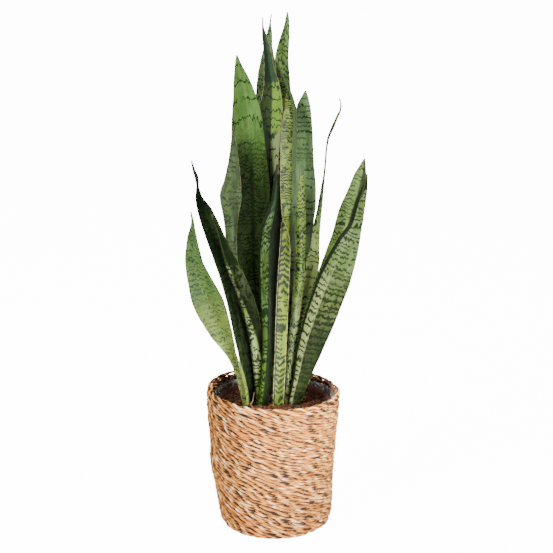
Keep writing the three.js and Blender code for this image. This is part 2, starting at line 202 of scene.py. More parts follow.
class Slot(Enum):
    """The record's material slots."""

    SEAGRASS = "seagrass"
    FILM = "clear_film"
    PLASTIC = "pot_plastic"
    SOIL = "soil"
    LEAF_LIGHT = "leaf_light"
    LEAF_DARK = "leaf_dark"


class Ends(Enum):
    """How a tube closes at its two ends."""

    CAPPED = "a point at the middle of each end joins the end's ring"
    JOINED = "the last ring joins the first"


@dataclass
class Shell:
    """Gathers closed tubes, in millimetres, into one mesh with four marks a point."""

    points: list[np.ndarray] = field(default_factory=list)
    marks: list[np.ndarray] = field(default_factory=list)
    faces: list[np.ndarray] = field(default_factory=list)
    count: int = 0

    def add(self, tubes: np.ndarray, marks: Marks = NO_MARKS,
            ends: Ends = Ends.CAPPED) -> None:
        """Adds tubes of the same size, their faces turned outwards.

        The side of a tube is a grid of four-cornered faces, closed around. Its volume,
        the sum over faces of corner . (edge x edge), has the sign of the faces' turn.

        Args:
            tubes: Points as tube, ring, place around the ring, and x, y, z.
            marks: Their four marks, in the same order.
            ends: How the tubes close.
        """
        number, rings, around, _ = tubes.shape
        marks = np.stack([np.broadcast_to(mark, tubes.shape[:-1]) for mark in marks], axis=-1)
        index = np.arange(number * rings * around).reshape(number, rings, around)
        low = index if ends is Ends.JOINED else index[:, :-1]
        high = np.roll(index, -1, axis=1) if ends is Ends.JOINED else index[:, 1:]
        quads = np.stack([low, np.roll(low, -1, axis=2), np.roll(high, -1, axis=2), high],
                         axis=-1).reshape(-1, 4)
        points, kept = tubes.reshape(-1, 3), marks.reshape(-1, 4)
        corner = points[quads]
        flux = np.cross(corner[:, 2] - corner[:, 0], corner[:, 3] - corner[:, 1])
        outward = (flux * (corner.mean(axis=1) - points.mean(axis=0))).sum() > 0
        tris = np.empty((0, 3), np.int64)
        if ends is Ends.CAPPED:
            middle = len(points) + np.arange(2 * number).reshape(number, 2, 1)
            points = np.concatenate([points, tubes[:, [0, -1]].mean(axis=2).reshape(-1, 3)])
            kept = np.concatenate([kept, marks[:, [0, -1]].mean(axis=2).reshape(-1, 4)])
            first, last = index[:, 0], index[:, -1]
            tris = np.concatenate([
                np.stack([np.broadcast_to(middle[:, 0], first.shape),
                          np.roll(first, -1, axis=1), first], axis=-1).reshape(-1, 3),
                np.stack([np.broadcast_to(middle[:, 1], last.shape),
                          last, np.roll(last, -1, axis=1)], axis=-1).reshape(-1, 3)])
        for group in (quads, tris):
            self.faces.append((group if outward else group[:, ::-1]) + self.count)
        self.points.append(points)
        self.marks.append(kept)
        self.count += len(points)

    def build(self, name: str, material: bpy.types.Material, slot: Slot,
              *stands_for: str) -> bpy.types.Object:
        """Makes the mesh object, in metres, riding on the body.

        Args:
            name: The piece's name.
            material: Its finish.
            slot: The record's material slot that the finish belongs to; not used.
            stands_for: CAD nodes that the piece is shown for.

        Returns:
            The finished piece.
        """
        mesh = bpy.data.meshes.new(name)
        points = np.concatenate(self.points) * MM
        sizes = np.concatenate([np.full(len(f), f.shape[1]) for f in self.faces])
        loops = np.concatenate([f.ravel() for f in self.faces])
        mesh.vertices.add(len(points))
        mesh.vertices.foreach_set("co", points.astype(np.float32).ravel())
        mesh.loops.add(len(loops))
        mesh.loops.foreach_set("vertex_index", loops.astype(np.int32))
        mesh.polygons.add(len(sizes))
        mesh.polygons.foreach_set("loop_start", (np.cumsum(sizes) - sizes).astype(np.int32))
        marks = mesh.attributes.new(MARKS, "FLOAT_COLOR", "POINT")
        marks.data.foreach_set("color", np.concatenate(self.marks).astype(np.float32).ravel())
        mesh.update(calc_edges=True)
        mesh.shade_smooth()
        mesh.materials.append(material)
        piece = bpy.data.objects.new(name, mesh)
        bpy.context.scene.collection.objects.link(piece)
        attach(piece, BODY)
        if stands_for:
            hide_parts(*stands_for)
        LOG.info("%s: %d faces, finish %s", name, len(mesh.polygons), material.name)
        return piece


def shell_of(tubes: np.ndarray, marks: Marks = NO_MARKS, ends: Ends = Ends.CAPPED) -> Shell:
    """Makes a shell of tubes of the same size.

    Args:
        tubes: Points as tube, ring, place around the ring, and x, y, z.
        marks: Their four marks; a finish on Object coordinates needs none.
        ends: How the tubes close.

    Returns:
        The shell.
    """
    shell = Shell()
    shell.add(tubes, marks, ends)
    return shell


# ------------------------------------------------------------------ shader arithmetic

class Wire:
    """A node's output in an expression; arithmetic on it adds Math nodes."""

    def __init__(self, kit: "NodeKit", socket: bpy.types.NodeSocket) -> None:
        self.kit = kit
        self.socket = socket

    def __add__(self, other: "Value") -> "Wire":
        """Sum."""
        return self.kit.math("ADD", self, other)

    def __sub__(self, other: "Value") -> "Wire":
        """Difference."""
        return self.kit.math("SUBTRACT", self, other)

    def __rsub__(self, other: "Value") -> "Wire":
        """Difference from a number."""
        return self.kit.math("SUBTRACT", other, self)

    def __mul__(self, other: "Value") -> "Wire":
        """Product."""
        return self.kit.math("MULTIPLY", self, other)

    def __truediv__(self, other: "Value") -> "Wire":
        """Quotient."""
        return self.kit.math("DIVIDE", self, other)

    def __abs__(self) -> "Wire":
        """Size without sign."""
        return self.kit.math("ABSOLUTE", self)

    def between(self, low: float, high: float) -> "Wire":
        """Goes from low to high as this goes from 0 to 1."""
        return self * (high - low) + low

    def rise(self, start: float, full: float) -> "Wire":
        """Eases from 0 at one value to 1 at another, which may be the lower one.

        Args:
            start: The value that gives 0.
            full: The value that gives 1.

        Returns:
            The eased share.
        """
        falls = start > full
        return self.kit.wire("ShaderNodeMapRange", {"interpolation_type": "SMOOTHSTEP"}, {
            "Value": self, "From Min": min(start, full), "From Max": max(start, full),
            "To Min": float(falls), "To Max": float(not falls)})


Value = Wire | float
Tint = Wire | Colour


class NodeKit:
    """Adds nodes to one tree."""

    def __init__(self, tree: bpy.types.NodeTree) -> None:
        """Holds the tree's nodes and links."""
        self.nodes = tree.nodes
        self.links = tree.links

    def add(self, kind: str, settings: dict[str, object],
            values: dict[int | str, Value | Tint]) -> bpy.types.Node:
        """Adds a node.

        Args:
            kind: The node's type.
            settings: Its own properties, or a ramp's stops, set first.
            values: Numbers, colours or links for its sockets, by index or name.

        Returns:
            The node.
        """
        node = self.nodes.new(kind)
        for key, value in settings.items():
            if key == "stops":
                self._set_stops(node.color_ramp.elements, value)
            else:
                setattr(node, key, value)
        for key, value in values.items():
            self.feed(node.inputs[key], value)
        return node

    def _set_stops(self, elements: bpy.types.bpy_prop_collection,
                   stops: Sequence[tuple[float, str]]) -> None:
        """Puts a ramp's stops, each a place and a colour, in rising order.

        Args:
            elements: The ramp's stops, of which a new ramp has two.
            stops: At least two places, each with its colour code.
        """
        elements[0].position, elements[1].position = stops[0][0], stops[-1][0]
        for position, _ in stops[1:-1]:
            elements.new(position)
        for element, (_, code) in zip(elements, stops):
            element.color = paint(code)

    def feed(self, socket: bpy.types.NodeSocket, value: Value | Tint) -> None:
        """Links a wire to a socket, or sets the socket's own value.

        Args:
            socket: An input of one of the tree's nodes.
            value: The wire, number or colour for it.
        """
        if isinstance(value, Wire):
            self.links.new(value.socket, socket)
        else:
            socket.default_value = value

    def wire(self, kind: str, settings: dict[str, object],
             values: dict[int | str, Value | Tint], output: int | str = 0) -> Wire:
        """Adds a node in the same way and takes one of its outputs."""
        return Wire(self, self.add(kind, settings, values).outputs[output])

    def math(self, operation: str, *values: Value) -> Wire:
        """Adds a Math node on one, two or three values."""
        return self.wire("ShaderNodeMath", {"operation": operation}, dict(enumerate(values)))

    def mix(self, share: Value, first: Tint, second: Tint) -> Wire:
        """Blends two colours; a share of 0 is all the first."""
        values = dict(zip(MIX_IN, (share, first, second)))
        return self.wire("ShaderNodeMix", {"data_type": "RGBA"}, values, MIX_OUT)

    def ramp(self, share: Value, stops: Sequence[tuple[float, str]]) -> Wire:
        """Reads a colour between the stops, each a place and a colour code."""
        return self.wire("ShaderNodeValToRGB", {"stops": stops}, {0: share})

    def vector(self, *parts: Value) -> Wire:
        """Joins three values into a vector."""
        return self.wire("ShaderNodeCombineXYZ", {}, dict(enumerate(parts)))

    def noise(self, *parts: Value, detail: float = 0.0) -> Wire:
        """Smooth noise around 0.5, with cells of size 1 in the three values given."""
        return self.wire("ShaderNodeTexNoise", {"noise_dimensions": "3D"},
                         {"Vector": self.vector(*parts), "Scale": 1.0, "Detail": detail})

    def parts(self, whole: Wire) -> tuple[Wire, ...]:
        """The three values of a vector or a colour."""
        node = self.add("ShaderNodeSeparateXYZ", {}, {"Vector": whole})
        return tuple(Wire(self, output) for output in node.outputs)

    def marks(self) -> tuple[Wire, Wire, Wire, Wire]:
        """Reads the marks that each point of the mesh carries.

        Returns:
            The four marks.
        """
        node = self.add("ShaderNodeAttribute", {"attribute_name": MARKS}, {})
        colour, last = (Wire(self, node.outputs[name]) for name in ("Color", "Alpha"))
        return (*self.parts(colour), last)

    def spread(self, size: Pair, detail: float) -> Wire:
        """Reads noise on Object coordinates.

        Args:
            size: Width and height of a cell, in millimetres.
            detail: Layers of finer noise on top.

        Returns:
            The noise, around 0.5.
        """
        place = self.wire("ShaderNodeTexCoord", {}, {}, "Object")
        x, y, z = (part / MM for part in self.parts(place))
        wide, high = size
        return self.noise(x / wide, y / wide, z / high, detail=detail)


class FinishKit(NodeKit):
    """Builds one material."""

    def __init__(self, name: str) -> None:
        """Makes the material with its surface shader.

        Args:
            name: The material's name.
        """
        self.material = bpy.data.materials.new(name)
        self.material.use_nodes = True
        super().__init__(self.material.node_tree)
        self.surface = self.nodes["Principled BSDF"]

    def relief(self, height: Wire, depth: float) -> None:
        """Bumps the surface by a height of 0 to 1 over a depth in millimetres."""
        bump = self.wire("ShaderNodeBump", {}, {"Height": height, "Distance": depth * MM})
        self.feed(self.surface.inputs["Normal"], bump)

    def finish(self, values: dict[str, Value | Tint]) -> bpy.types.Material:
        """Sets the surface shader.

        Args:
            values: Numbers, colours or wires for its sockets, by name.

        Returns:
            The finished material.
        """
        for key, value in values.items():
            self.feed(self.surface.inputs[key], value)
        return self.material


# ------------------------------------------------------------------ leaf skin

@dataclass(frozen=True)
class Pattern:
    """Noise on a blade, with cells in millimetres.

    Its step of the seed keeps it apart from the others, and fade says where it fades in.
    """

    across: float
    along: float
    step: int
    detail: float = 0
    fade: Pair = (0, 1)


class Grain(Enum):
    """The patterns that every blade has."""

    WANDER = Pattern(16, 24, 0, 1)
    STREAK = Pattern(1.1, 70, 2, 1)
    FOOT = Pattern(5, 60, 3, fade=(0.2, 0.6))
    RAGGED = Pattern(2.6, 2.2, 4, 1)
    RIB = Pattern(0.8, 50, 8, 2)
    PATCH = Pattern(11, 45, 9, 2, (0.35, 0.65))
    PORE = Pattern(1.5, 1.5, 10)
    CLOUD = Pattern(9, 18, 11, 1, (0.4, 0.65))
    THIN = Pattern(4, 3, 13, 1, (0.2, 0.6))
    LINE = Pattern(2.2, 34, 15, 2, (0.48, 0.7))


class Step(IntEnum):
    """Steps of the seed for the patterns that each finish sizes for itself."""

    JAG = 1
    RANK = 5
    STRETCH = 6
    SPOT = 7
    PACE = 12
    MARGIN = 14


@dataclass(frozen=True)
class Blade:
    """Where a point lies on a blade, as the shader sees it, in millimetres."""

    kit: FinishKit
    u: Wire
    across: Wire
    along: Wire
    half: Wire
    length: float
    seed: int

    def grain(self, grain: Grain) -> Wire:
        """One of the patterns that every blade has.

        Args:
            grain: The pattern.

        Returns:
            Its noise, around 0.5.
        """
        pattern = grain.value
        return self.kit.noise(self.across / pattern.across, self.along / pattern.along,
                              self.seed + pattern.step, detail=float(pattern.detail))

    def share(self, grain: Grain) -> Wire:
        """The same pattern, 0 or 1 outside its fade."""
        return self.grain(grain).rise(*grain.value.fade)

    def noise(self, first: Value, second: Value, step: Step, detail: float = 0.0) -> Wire:
        """Noise at two values in the blade's own pattern."""
        return self.kit.noise(first, second, self.seed + step, detail=detail)

    def below(self, end: float, full: float) -> Wire:
        """Fades out up the blade: 1 up to a share of the end's height, 0 at the end."""
        return self.along.rise(end, end * full)


@dataclass(frozen=True)
class LeafFinish:
    """Banded leaf skin, in millimetres. Depths, inks, tones and covers are shares.

    The fold line, at midline half widths, parts the left flank from the right one.
    From upper_from upwards the look of upper takes over.
    """

    ground: str = "#6f8b46"
    pale: str = "#93a95c"
    dark: str = "#263a2a"
    patches: float = 0.75
    veins: float = 0.7
    foot: str = "#93a04c"
    foot_fade: Pair = (170, 40)
    foot_cover: float = 0.8
    # Painted lighting: a lighter left flank stands for a lit one, a darker for a shaded one.
    left_lighting_tone: str = ""
    left_cover: float = 0.85
    streaks: float = 0
    margin: str = "#39472f"
    margin_strength: float = 0.7
    margin_fade: Pair = (0.75, 0.15)
    margin_length: float = 7
    margin_breaks: Pair = (0.35, 0.6)
    margin_least: float = 0.25

    band_gap: float = 16
    band_width: float = 0.42
    band_core: float = 0.3
    band_strength: float = 0.8
    band_step: float = 3.7
    pace_length: float = 2.3
    pace_change: float = 2
    broken: float = 0.47
    broken_blur: float = 0.1
    broken_width: float = 9
    chevron: float = 0
    chevron_foot: float = 0
    chevron_change: Pair = (120, 260)
    slant: float = 0
    zigzag: float = 1.8
    jag_width: float = 3.6
    jag_height: float = 12
    jag_fade: Pair = (0.28, 0.72)
    wander: float = 7
    cluster: float = 30
    cluster_width: float = 30
    cluster_fade: Pair = (0.3, 0.65)
    cluster_pull: float = 0.3
    fleck: float = 0.1
    fleck_size: float = 1.5
    fleck_widening: float = 1.6
    fleck_strength: float = 1.8
    mark_fade: Pair = (0.4, 0.53)
    mark_cover: Pair = (0.66, 0.98)

    solid_tip: float = 0
    solid_colour: str = "#2c4634"
    solid_ragged: float = 24
    solid_fade: Pair = (8, 12)
    solid_cover: float = 0.92
    dry_tip: float = 5
    dry_blur: float = 2
    dry_full: float = 0.4
    dry_cover: float = 0.85

    midline: float = 0
    midline_foot: float | None = None
    left_ink: float = 1
    right_ink: float = 1
    # Painted shade towards DEEP_SHADE: flanks, foot, the groove along the fold and the left
    # margin.
    left_depth: float = 0
    right_depth: float = 0
    depth_blur: float = 0.1
    low_full: float = 0.6
    low_depth: float = 0
    low_end: float = 250
    low_right_depth: float = 0
    low_right_end: float = 170
    left_shade: float = 0
    left_shade_blur: float = 1
    left_shade_cover: float = 0.98
    valley_shade: float = 0
    valley_top: float = 600
    valley_full: float = 0.7
    valley_reach: float = 0.6
    # crest is the strength of a painted highlight along the keel line, in RIDGE_HIGHLIGHT.
    crest: float = 0
    crest_highlight_fade: Pair = (1.5, 0.5)

    gloss: float = 0.3
    roughness: float = 0.4
    pore_roughness: float = 0.1
    rib_roughness: float = 0.12
    rib_height: float = 0.7
    relief: float = 0.5
    slot: Slot = Slot.LEAF_LIGHT
    upper: "LeafFinish | None" = None
    upper_from: float = 0
    upper_blend: float = 9

    def _seen(self, code: str) -> Colour:
        """The paint that shows a colour as given once the lights have changed it.

        Args:
            code: Six hexadecimal digits after a hash.

        Returns:
            The paint's red, green, blue and alpha.
        """
        tone = np.array(paint(code)[:3]) * LESS_RED
        grey = tone @ EYE_WEIGHTS
        return (*(np.clip(grey + (tone - grey) * VIVID, 0, 1) * DIM).tolist(), 1.0)

    def _bands(self, on: Blade) -> Wire:
        """How close each point is to a dark band, 0 to 1.

        Bands are level lines of the height along the blade plus a V about the fold, a
        slant, a jagged edge and a slow wander. Each has a strength of its own, which
        also changes across the blade and from one stretch of it to the next.

        Args:
            on: The place on the blade.

        Returns:
            The closeness.
        """
        jag = on.noise(on.across / self.jag_width, on.along / self.jag_height, Step.JAG)
        fold = (on.along.rise(*self.chevron_change) * (self.chevron - self.chevron_foot)
                + self.chevron_foot)
        height = (on.along + (on.grain(Grain.WANDER) - 0.5) * (2 * self.wander)
                  + abs(on.u - self.midline) * fold + on.u * self.slant
                  + (jag.rise(*self.jag_fade) - 0.5) * (2 * self.zigzag))
        pace = on.noise(on.along / (self.band_gap * self.pace_length), 0.5, Step.PACE)
        turns = height / self.band_gap + pace * self.pace_change
        part = on.kit.math("FRACT", turns)
        crest = 1 - abs(part - 0.5) * 2
        rank = on.noise((turns - part) * self.band_step, on.across / self.broken_width,
                        Step.RANK, detail=1.0)
        stretch = on.noise(on.along / self.cluster, on.across / self.cluster_width,
                           Step.STRETCH).rise(*self.cluster_fade)
        whole = rank + stretch * self.cluster_pull - self.cluster_pull / 2
        return (crest.rise(1 - self.band_width, 1 - self.band_width * self.band_core)
                * whole.rise(self.broken - self.broken_blur, self.broken + self.broken_blur)
                * self.band_strength)

    def _skin(self, on: Blade, right: Wire) -> Wire:
        """Ground colour: soft patches, fine veins up the blade, a paler foot and painted lighting
        on the left flank.

        Args:
            on: The place on the blade.
            right: 1 on the right flank and 0 on the left one.

        Returns:
            The colour.
        """
        mix = on.kit.mix
        share = on.share(Grain.PATCH) * self.patches
        skin = mix(share + (on.grain(Grain.STREAK) - 0.5) * self.veins,
                   self._seen(self.ground), self._seen(self.pale))
        foot = on.along.rise(*self.foot_fade) * on.share(Grain.FOOT)
        skin = mix(foot * self.foot_cover, skin, self._seen(self.foot))
        # Painted light and shade on the left flank, in its own tone.
        if self.left_lighting_tone:
            skin = mix((1 - right) * self.left_cover, skin, self._seen(self.left_lighting_tone))
        if self.streaks:
            skin = mix(on.share(Grain.LINE) * self.streaks, skin, self._seen(self.dark))
        return skin

    def _marked(self, on: Blade, skin: Wire, right: Wire) -> Wire:
        """Dark bands and flecks on the skin, and the solid tip.

        Args:
            on: The place on the blade.
            skin: The colour under the marks.
            right: 1 on the right flank and 0 on the left one.

        Returns:
            The colour.
        """
        ink = right * (self.right_ink - self.left_ink) + self.left_ink
        spots = on.noise(on.across / (self.fleck_size * self.fleck_widening),
                         on.along / self.fleck_size, Step.SPOT, detail=2.0)
        marks = (self._bands(on) + on.share(Grain.CLOUD) * self.fleck) * ink
        dark = (marks + (spots - 0.5) * self.fleck_strength).rise(*self.mark_fade)
        cover = on.share(Grain.THIN).between(*self.mark_cover)
        colour = on.kit.mix(dark * cover, skin, self._seen(self.dark))
        if self.solid_tip:
            top = on.length - self.solid_tip
            solid = (on.along + on.grain(Grain.RAGGED) * self.solid_ragged).rise(
                *(top + step for step in self.solid_fade))
            colour = on.kit.mix(solid * self.solid_cover, colour,
                                self._seen(self.solid_colour))
        return colour

    def _shaded(self, on: Blade, colour: Wire, right: Wire) -> Wire:
        """Paints shade: darkens the flanks, the groove along the fold, the foot and the left
        edge.

        Args:
            on: The place on the blade.
            colour: The colour before.
            right: 1 on the right flank and 0 on the left one.

        Returns:
            The darkened colour.
        """
        kit = on.kit
        right_depth = self.right_depth
        if self.low_right_depth:
            low = on.below(self.low_right_end, self.low_full)
            right_depth = low * (self.low_right_depth - right_depth) + right_depth
        depth = right * (right_depth - self.left_depth) + self.left_depth
        if self.valley_shade:
            near = abs(on.u - self.midline).rise(self.valley_reach, 0)
            low = on.below(self.valley_top, self.valley_full)
            depth = kit.math("MAXIMUM", depth, near * low * self.valley_shade)
        if self.low_depth:
            low = on.below(self.low_end, self.low_full)
            depth = kit.math("MAXIMUM", depth, low * self.low_depth)
        # Painted shade: depth is the share of DEEP_SHADE laid on.
        colour = kit.mix(depth, colour, paint(DEEP_SHADE))
        # Painted shadow in a band along the left margin.
        if self.left_shade:
            edge = (on.across + on.half).rise(self.left_shade + self.left_shade_blur,
                                              self.left_shade - self.left_shade_blur)
            colour = kit.mix(edge * self.left_shade_cover, colour, paint(DEEP_SHADE))
        return colour

    def look(self, on: Blade) -> Wire:
        """The whole blade's colour without its margin: skin, marks, painted shade and a painted
        highlight.

        Args:
            on: The place on the blade.

        Returns:
            The colour.
        """
        fold = on.u - self.midline
        if self.midline_foot is not None:
            drift = self.midline_foot - self.midline
            fold = fold - on.along.rise(on.length, 0) * drift
        right = fold.rise(-self.depth_blur, self.depth_blur)
        colour = self._marked(on, self._skin(on, right), right)
        colour = self._shaded(on, colour, right)
        # Painted highlight along the keel line.
        if self.crest:
            ridge_highlight = abs(on.across - on.half * self.midline).rise(*self.crest_highlight_fade)
            colour = on.kit.mix(ridge_highlight * self.crest, colour, self._seen(RIDGE_HIGHLIGHT))
        return colour

    def _edged(self, on: Blade, colour: Wire) -> Wire:
        """Lays on the broken line along the margin and the dry tip.

        Args:
            on: The place on the blade.
            colour: The colour before.

        Returns:
            The colour with its margin and tip.
        """
        rim = ((1 - abs(on.u)) * on.half).rise(*self.margin_fade)
        whole = on.noise(on.along / self.margin_length, on.u, Step.MARGIN)
        whole = whole.rise(*self.margin_breaks).between(self.margin_least, 1)
        colour = on.kit.mix(rim * whole * self.margin_strength, colour,
                            self._seen(self.margin))
        dry = on.along.rise(on.length - self.dry_tip - self.dry_blur,
                            on.length - self.dry_tip * self.dry_full)
        return on.kit.mix(dry * self.dry_cover, colour, self._seen(DRY_TIP))

    def material(self, name: str, length: float, seed: int) -> bpy.types.Material:
        """Builds the finish.

        Args:
            name: The material's name.
            length: The leaf's length.
            seed: Picks the leaf's own pattern.

        Returns:
            A material on the marks across (-1 to 1), along, half width and side.
        """
        kit = FinishKit(name)
        u, along, half, _ = kit.marks()
        on = Blade(kit, u, u * half, along, half, length, seed)
        colour = self.look(on)
        if self.upper is not None:
            share = along.rise(self.upper_from - self.upper_blend,
                               self.upper_from + self.upper_blend)
            colour = kit.mix(share, colour, self.upper.look(on))
        rib, pore = on.grain(Grain.RIB), on.grain(Grain.PORE)
        kit.relief(rib * self.rib_height + pore * (1 - self.rib_height), self.relief)
        return kit.finish({
            "Base Color": self._edged(on, colour),
            "Roughness": pore * self.pore_roughness + rib * self.rib_roughness + self.roughness,
            "Specular IOR Level": self.gloss,
        })


# ------------------------------------------------------------------ other finishes

@dataclass(frozen=True)
class Coat:
    """A colour laid over another where a value rises from start to full."""

    colour: str
    start: float
    full: float
    cover: float = 1

    def share(self, value: Wire) -> Wire:
        """How far the coat is on, 0 to 1."""
        return value.rise(self.start, self.full)

    def over(self, under: Tint, value: Wire, where: Value = 1.0) -> Wire:
        """Lays the coat over a colour as a value rises, thinned to a share of 0 to 1."""
        share = self.share(value) * where * self.cover
        return value.kit.mix(share, under, paint(self.colour))


@dataclass(frozen=True)
class SeagrassFinish:
    """Dry twisted grass, tan to cream; painted shade where it dives in, painted highlights."""

    blades: tuple[tuple[float, str], ...] = (
        (0.2, "#8a4d20"), (0.4, "#de8a32"), (0.6, "#f5a94c"), (0.8, "#ffe2b2"))
    blade_share: float = 0.9
    streak_share: float = 0.7
    darker: float = 0.3
    fibre: Coat = Coat("#7a4a26", 0.5, 0.34, 0.6)
    stain: Coat = Coat("#96683f", 0.35, 0.7, 0.15)
    # crown_highlight paints a highlight on the plies' outer faces, in the streaks
    # crown_highlight_streaks picks.
    crown_highlight: Coat = Coat("#fff0d8", 0.5, 0.95, 0.7)
    crown_highlight_streaks: Pair = (0.54, 0.66)
    # edge paints shade along the plies' sides, away from their outer faces.
    edge: Coat = Coat("#64340f", 0.6, -0.1, 0.85)
    # crevice_shade paints near-black shade where the plies dive into the wall.
    crevice_shade: Coat = Coat("#140a04", 0.25, 0.08, 0.96)
    crevice_ragged: float = 0.14
    # inside paints shade, a duller darker brown, on the plies' inward faces.
    inside: Coat = Coat("#a58670", 0.05, -0.35, 0.4)
    blade_length: float = 40
    blade_slice: float = 2
    streak_length: float = 18
    streaks_around: float = 2
    streak_slice: float = 4
    fibre_length: float = 12
    fibres_around: float = 3.5
    fibres_inwards: float = 3
    fibre_height: float = 0.8
    patch_length: float = 4
    patches_around: float = 1.1
    patch_height: float = 0.4
    stain_size: Pair = (45, 30)
    roughness: Pair = (0.45, 0.7)
    gloss: float = 0.3
    relief: float = 0.9

    def material(self, name: str) -> bpy.types.Material:
        """Builds the finish on the marks along, around, standing out and blade.

        Args:
            name: The material's name.

        Returns:
            The finished material.
        """
        kit = FinishKit(name)
        along, around, stands_out, blade = kit.marks()
        own = kit.noise(along / self.blade_length, blade, self.blade_slice)
        streak = kit.noise(along / self.streak_length, around * self.streaks_around + blade,
                           self.streak_slice, detail=2.0)
        tone = own * self.blade_share + streak * self.streak_share - self.darker
        fibre = kit.noise(along / self.fibre_length, around * self.fibres_around,
                          blade + stands_out * self.fibres_inwards, detail=2.0)
        patch = kit.noise(along / self.patch_length, around * self.patches_around + blade,
                          self.streak_slice, detail=2.0)
        colour = self.fibre.over(kit.ramp(tone, self.blades), fibre)
        colour = self.stain.over(colour, kit.spread(self.stain_size, detail=1.0))
        # Painted highlight on the plies' outer faces, in streaks.
        colour = self.crown_highlight.over(colour, around, streak.rise(*self.crown_highlight_streaks))
        # Painted shade along the plies' sides.
        colour = self.edge.over(colour, around)
        # Painted shade where the plies dive in: sunk is low where stands_out is near 0.
        sunk = abs(stands_out) + (patch - 0.5) * self.crevice_ragged
        colour = self.crevice_shade.over(colour, sunk)
        kit.relief(fibre * self.fibre_height + patch * self.patch_height, self.relief)
        # Painted shade on the plies' inward faces.
        return kit.finish({
            "Base Color": self.inside.over(colour, stands_out),
            "Roughness": fibre.between(*self.roughness),
            "Specular IOR Level": self.gloss,
        })


@dataclass(frozen=True)
class FilmFinish:
    """Clear crinkled film, greyed by damp on its inner face, with painted highlights on its
    creases.
    """

    film: str = "#e6e4e2"
    damp: Coat = Coat("#85776e", 0.45, 0.62, 0.5)
    # fold is a painted white highlight on the creases, made more opaque there by
    # fold_highlight_opacity.
    fold: Coat = Coat("#ffffff", 0.5, 0.6)
    crease_size: Pair = (9, 14)
    damp_size: Pair = (5, 4)
    clear: float = 0.3
    fold_highlight_opacity: float = 0.5
    damp_opacity: float = 0.2
    roughness: Pair = (0.08, 0.33)
    gloss: float = 0.9
    relief: float = 2

    def material(self, name: str) -> bpy.types.Material:
        """Builds the finish on Object coordinates.

        Args:
            name: The material's name.

        Returns:
            The finished material.
        """
        kit = FinishKit(name)
        crease = kit.spread(self.crease_size, detail=2.0)
        damp = kit.spread(self.damp_size, detail=2.0)
        kit.relief(crease, self.relief)
        # Painted highlights: the creases turn white and more opaque.
        return kit.finish({
            "Base Color": self.fold.over(self.damp.over(paint(self.film), damp), crease),
            "Roughness": crease.between(*self.roughness),
            "Alpha": (self.fold.share(crease) * self.fold_highlight_opacity
                      + self.damp.share(damp) * self.damp_opacity + self.clear),
            "Specular IOR Level": self.gloss,
        })


@dataclass(frozen=True)
class MouldedPlasticFinish:
    """Thin moulded pot plastic with scuffs and a little soil dust."""

    plastic: str = "#5d3327"
    scuff: Coat = Coat("#85574a", 0.55, 0.7, 0.4)
    dust: Coat = Coat("#3a251c", 0.5, 0.75, 0.6)
    mould_size: Pair = (1.2, 1.2)
    scuff_size: Pair = (3, 22)
    dust_size: Pair = (14, 8)
    roughness: float = 0.36
    rougher: float = 0.2
    relief: float = 0.15

    def material(self, name: str) -> bpy.types.Material:
        """Builds the finish on Object coordinates.

        Args:
            name: The material's name.

        Returns:
            The finished material.
        """
        kit = FinishKit(name)
        scuff = kit.spread(self.scuff_size, detail=3.0)
        dust = kit.spread(self.dust_size, detail=3.0)
        kit.relief(kit.spread(self.mould_size, detail=2.0), self.relief)
        worn = self.scuff.share(scuff) + self.dust.share(dust)
        return kit.finish({
            "Base Color": self.dust.over(self.scuff.over(paint(self.plastic), scuff), dust),
            "Roughness": worn * self.rougher + self.roughness,
        })


@dataclass(frozen=True)
class PottingMixFinish:
    """Damp coir and peat: dark red-brown, with a lighter colour on its grains."""

    deep: str = "#180b07"
    light: str = "#71452f"
    grain_size: Pair = (3.2, 3.2)
    grain_fade: Pair = (0.42, 0.64)
    grain_share: float = 0.75
    clod_size: Pair = (7, 7)
    clod_fade: Pair = (0.35, 0.7)
    roughness: Pair = (0.7, 0.9)
    gloss: float = 0.25
    relief: float = 2.5

    def material(self, name: str) -> bpy.types.Material:
        """Builds the finish on Object coordinates.

        Args:
            name: The material's name.

        Returns:
            The finished material.
        """
        kit = FinishKit(name)
        grain = kit.spread(self.grain_size, detail=3.0)
        clod = kit.spread(self.clod_size, detail=2.0).rise(*self.clod_fade)
        share = grain.rise(*self.grain_fade) * self.grain_share + clod * (1 - self.grain_share)
        kit.relief(grain, self.relief)
        return kit.finish({
            "Base Color": kit.mix(share, paint(self.deep), paint(self.light)),
            "Roughness": grain.between(*self.roughness),
            "Specular IOR Level": self.gloss,
        })


@dataclass(frozen=True)
class DryHuskFinish:
    """Papery dead bract and root, straw with brown veins."""

    vein: str = "#8d6c48"
    straw: Coat = Coat("#d8c29b", 0.35, 0.65)
    vein_length: float = 12
    vein_slice: float = 1
    veins_across: float = 5
    roughness: Pair = (0.5, 0.7)
    relief: float = 0.4

    def material(self, name: str) -> bpy.types.Material:
        """Builds the finish on the marks across and along.

        Args:
            name: The material's name.

        Returns:
            The finished material.
        """
        kit = FinishKit(name)
        u, along, _, _ = kit.marks()
        vein = kit.noise(u * self.veins_across, along / self.vein_length, self.vein_slice,
                         detail=2.0)
        kit.relief(vein, self.relief)
        return kit.finish({
            "Base Color": self.straw.over(paint(self.vein), vein),
            "Roughness": vein.between(*self.roughness),
        })


# ------------------------------------------------------------------ leaf form

class Relief(Enum):
    """Unevenness of a blade's face: height, and its cell across and along."""

    RIBS = (0.16, 2.6, 55)
    DENTS = (0.22, 9, 24)
    NICKS = (0.35, 40, 9)

    def at(self, where: np.ndarray, seed: int) -> np.ndarray:
        """The height at each place on the blade."""
        height, *cell = self.value
        return height * lumps(where, cell, seed)


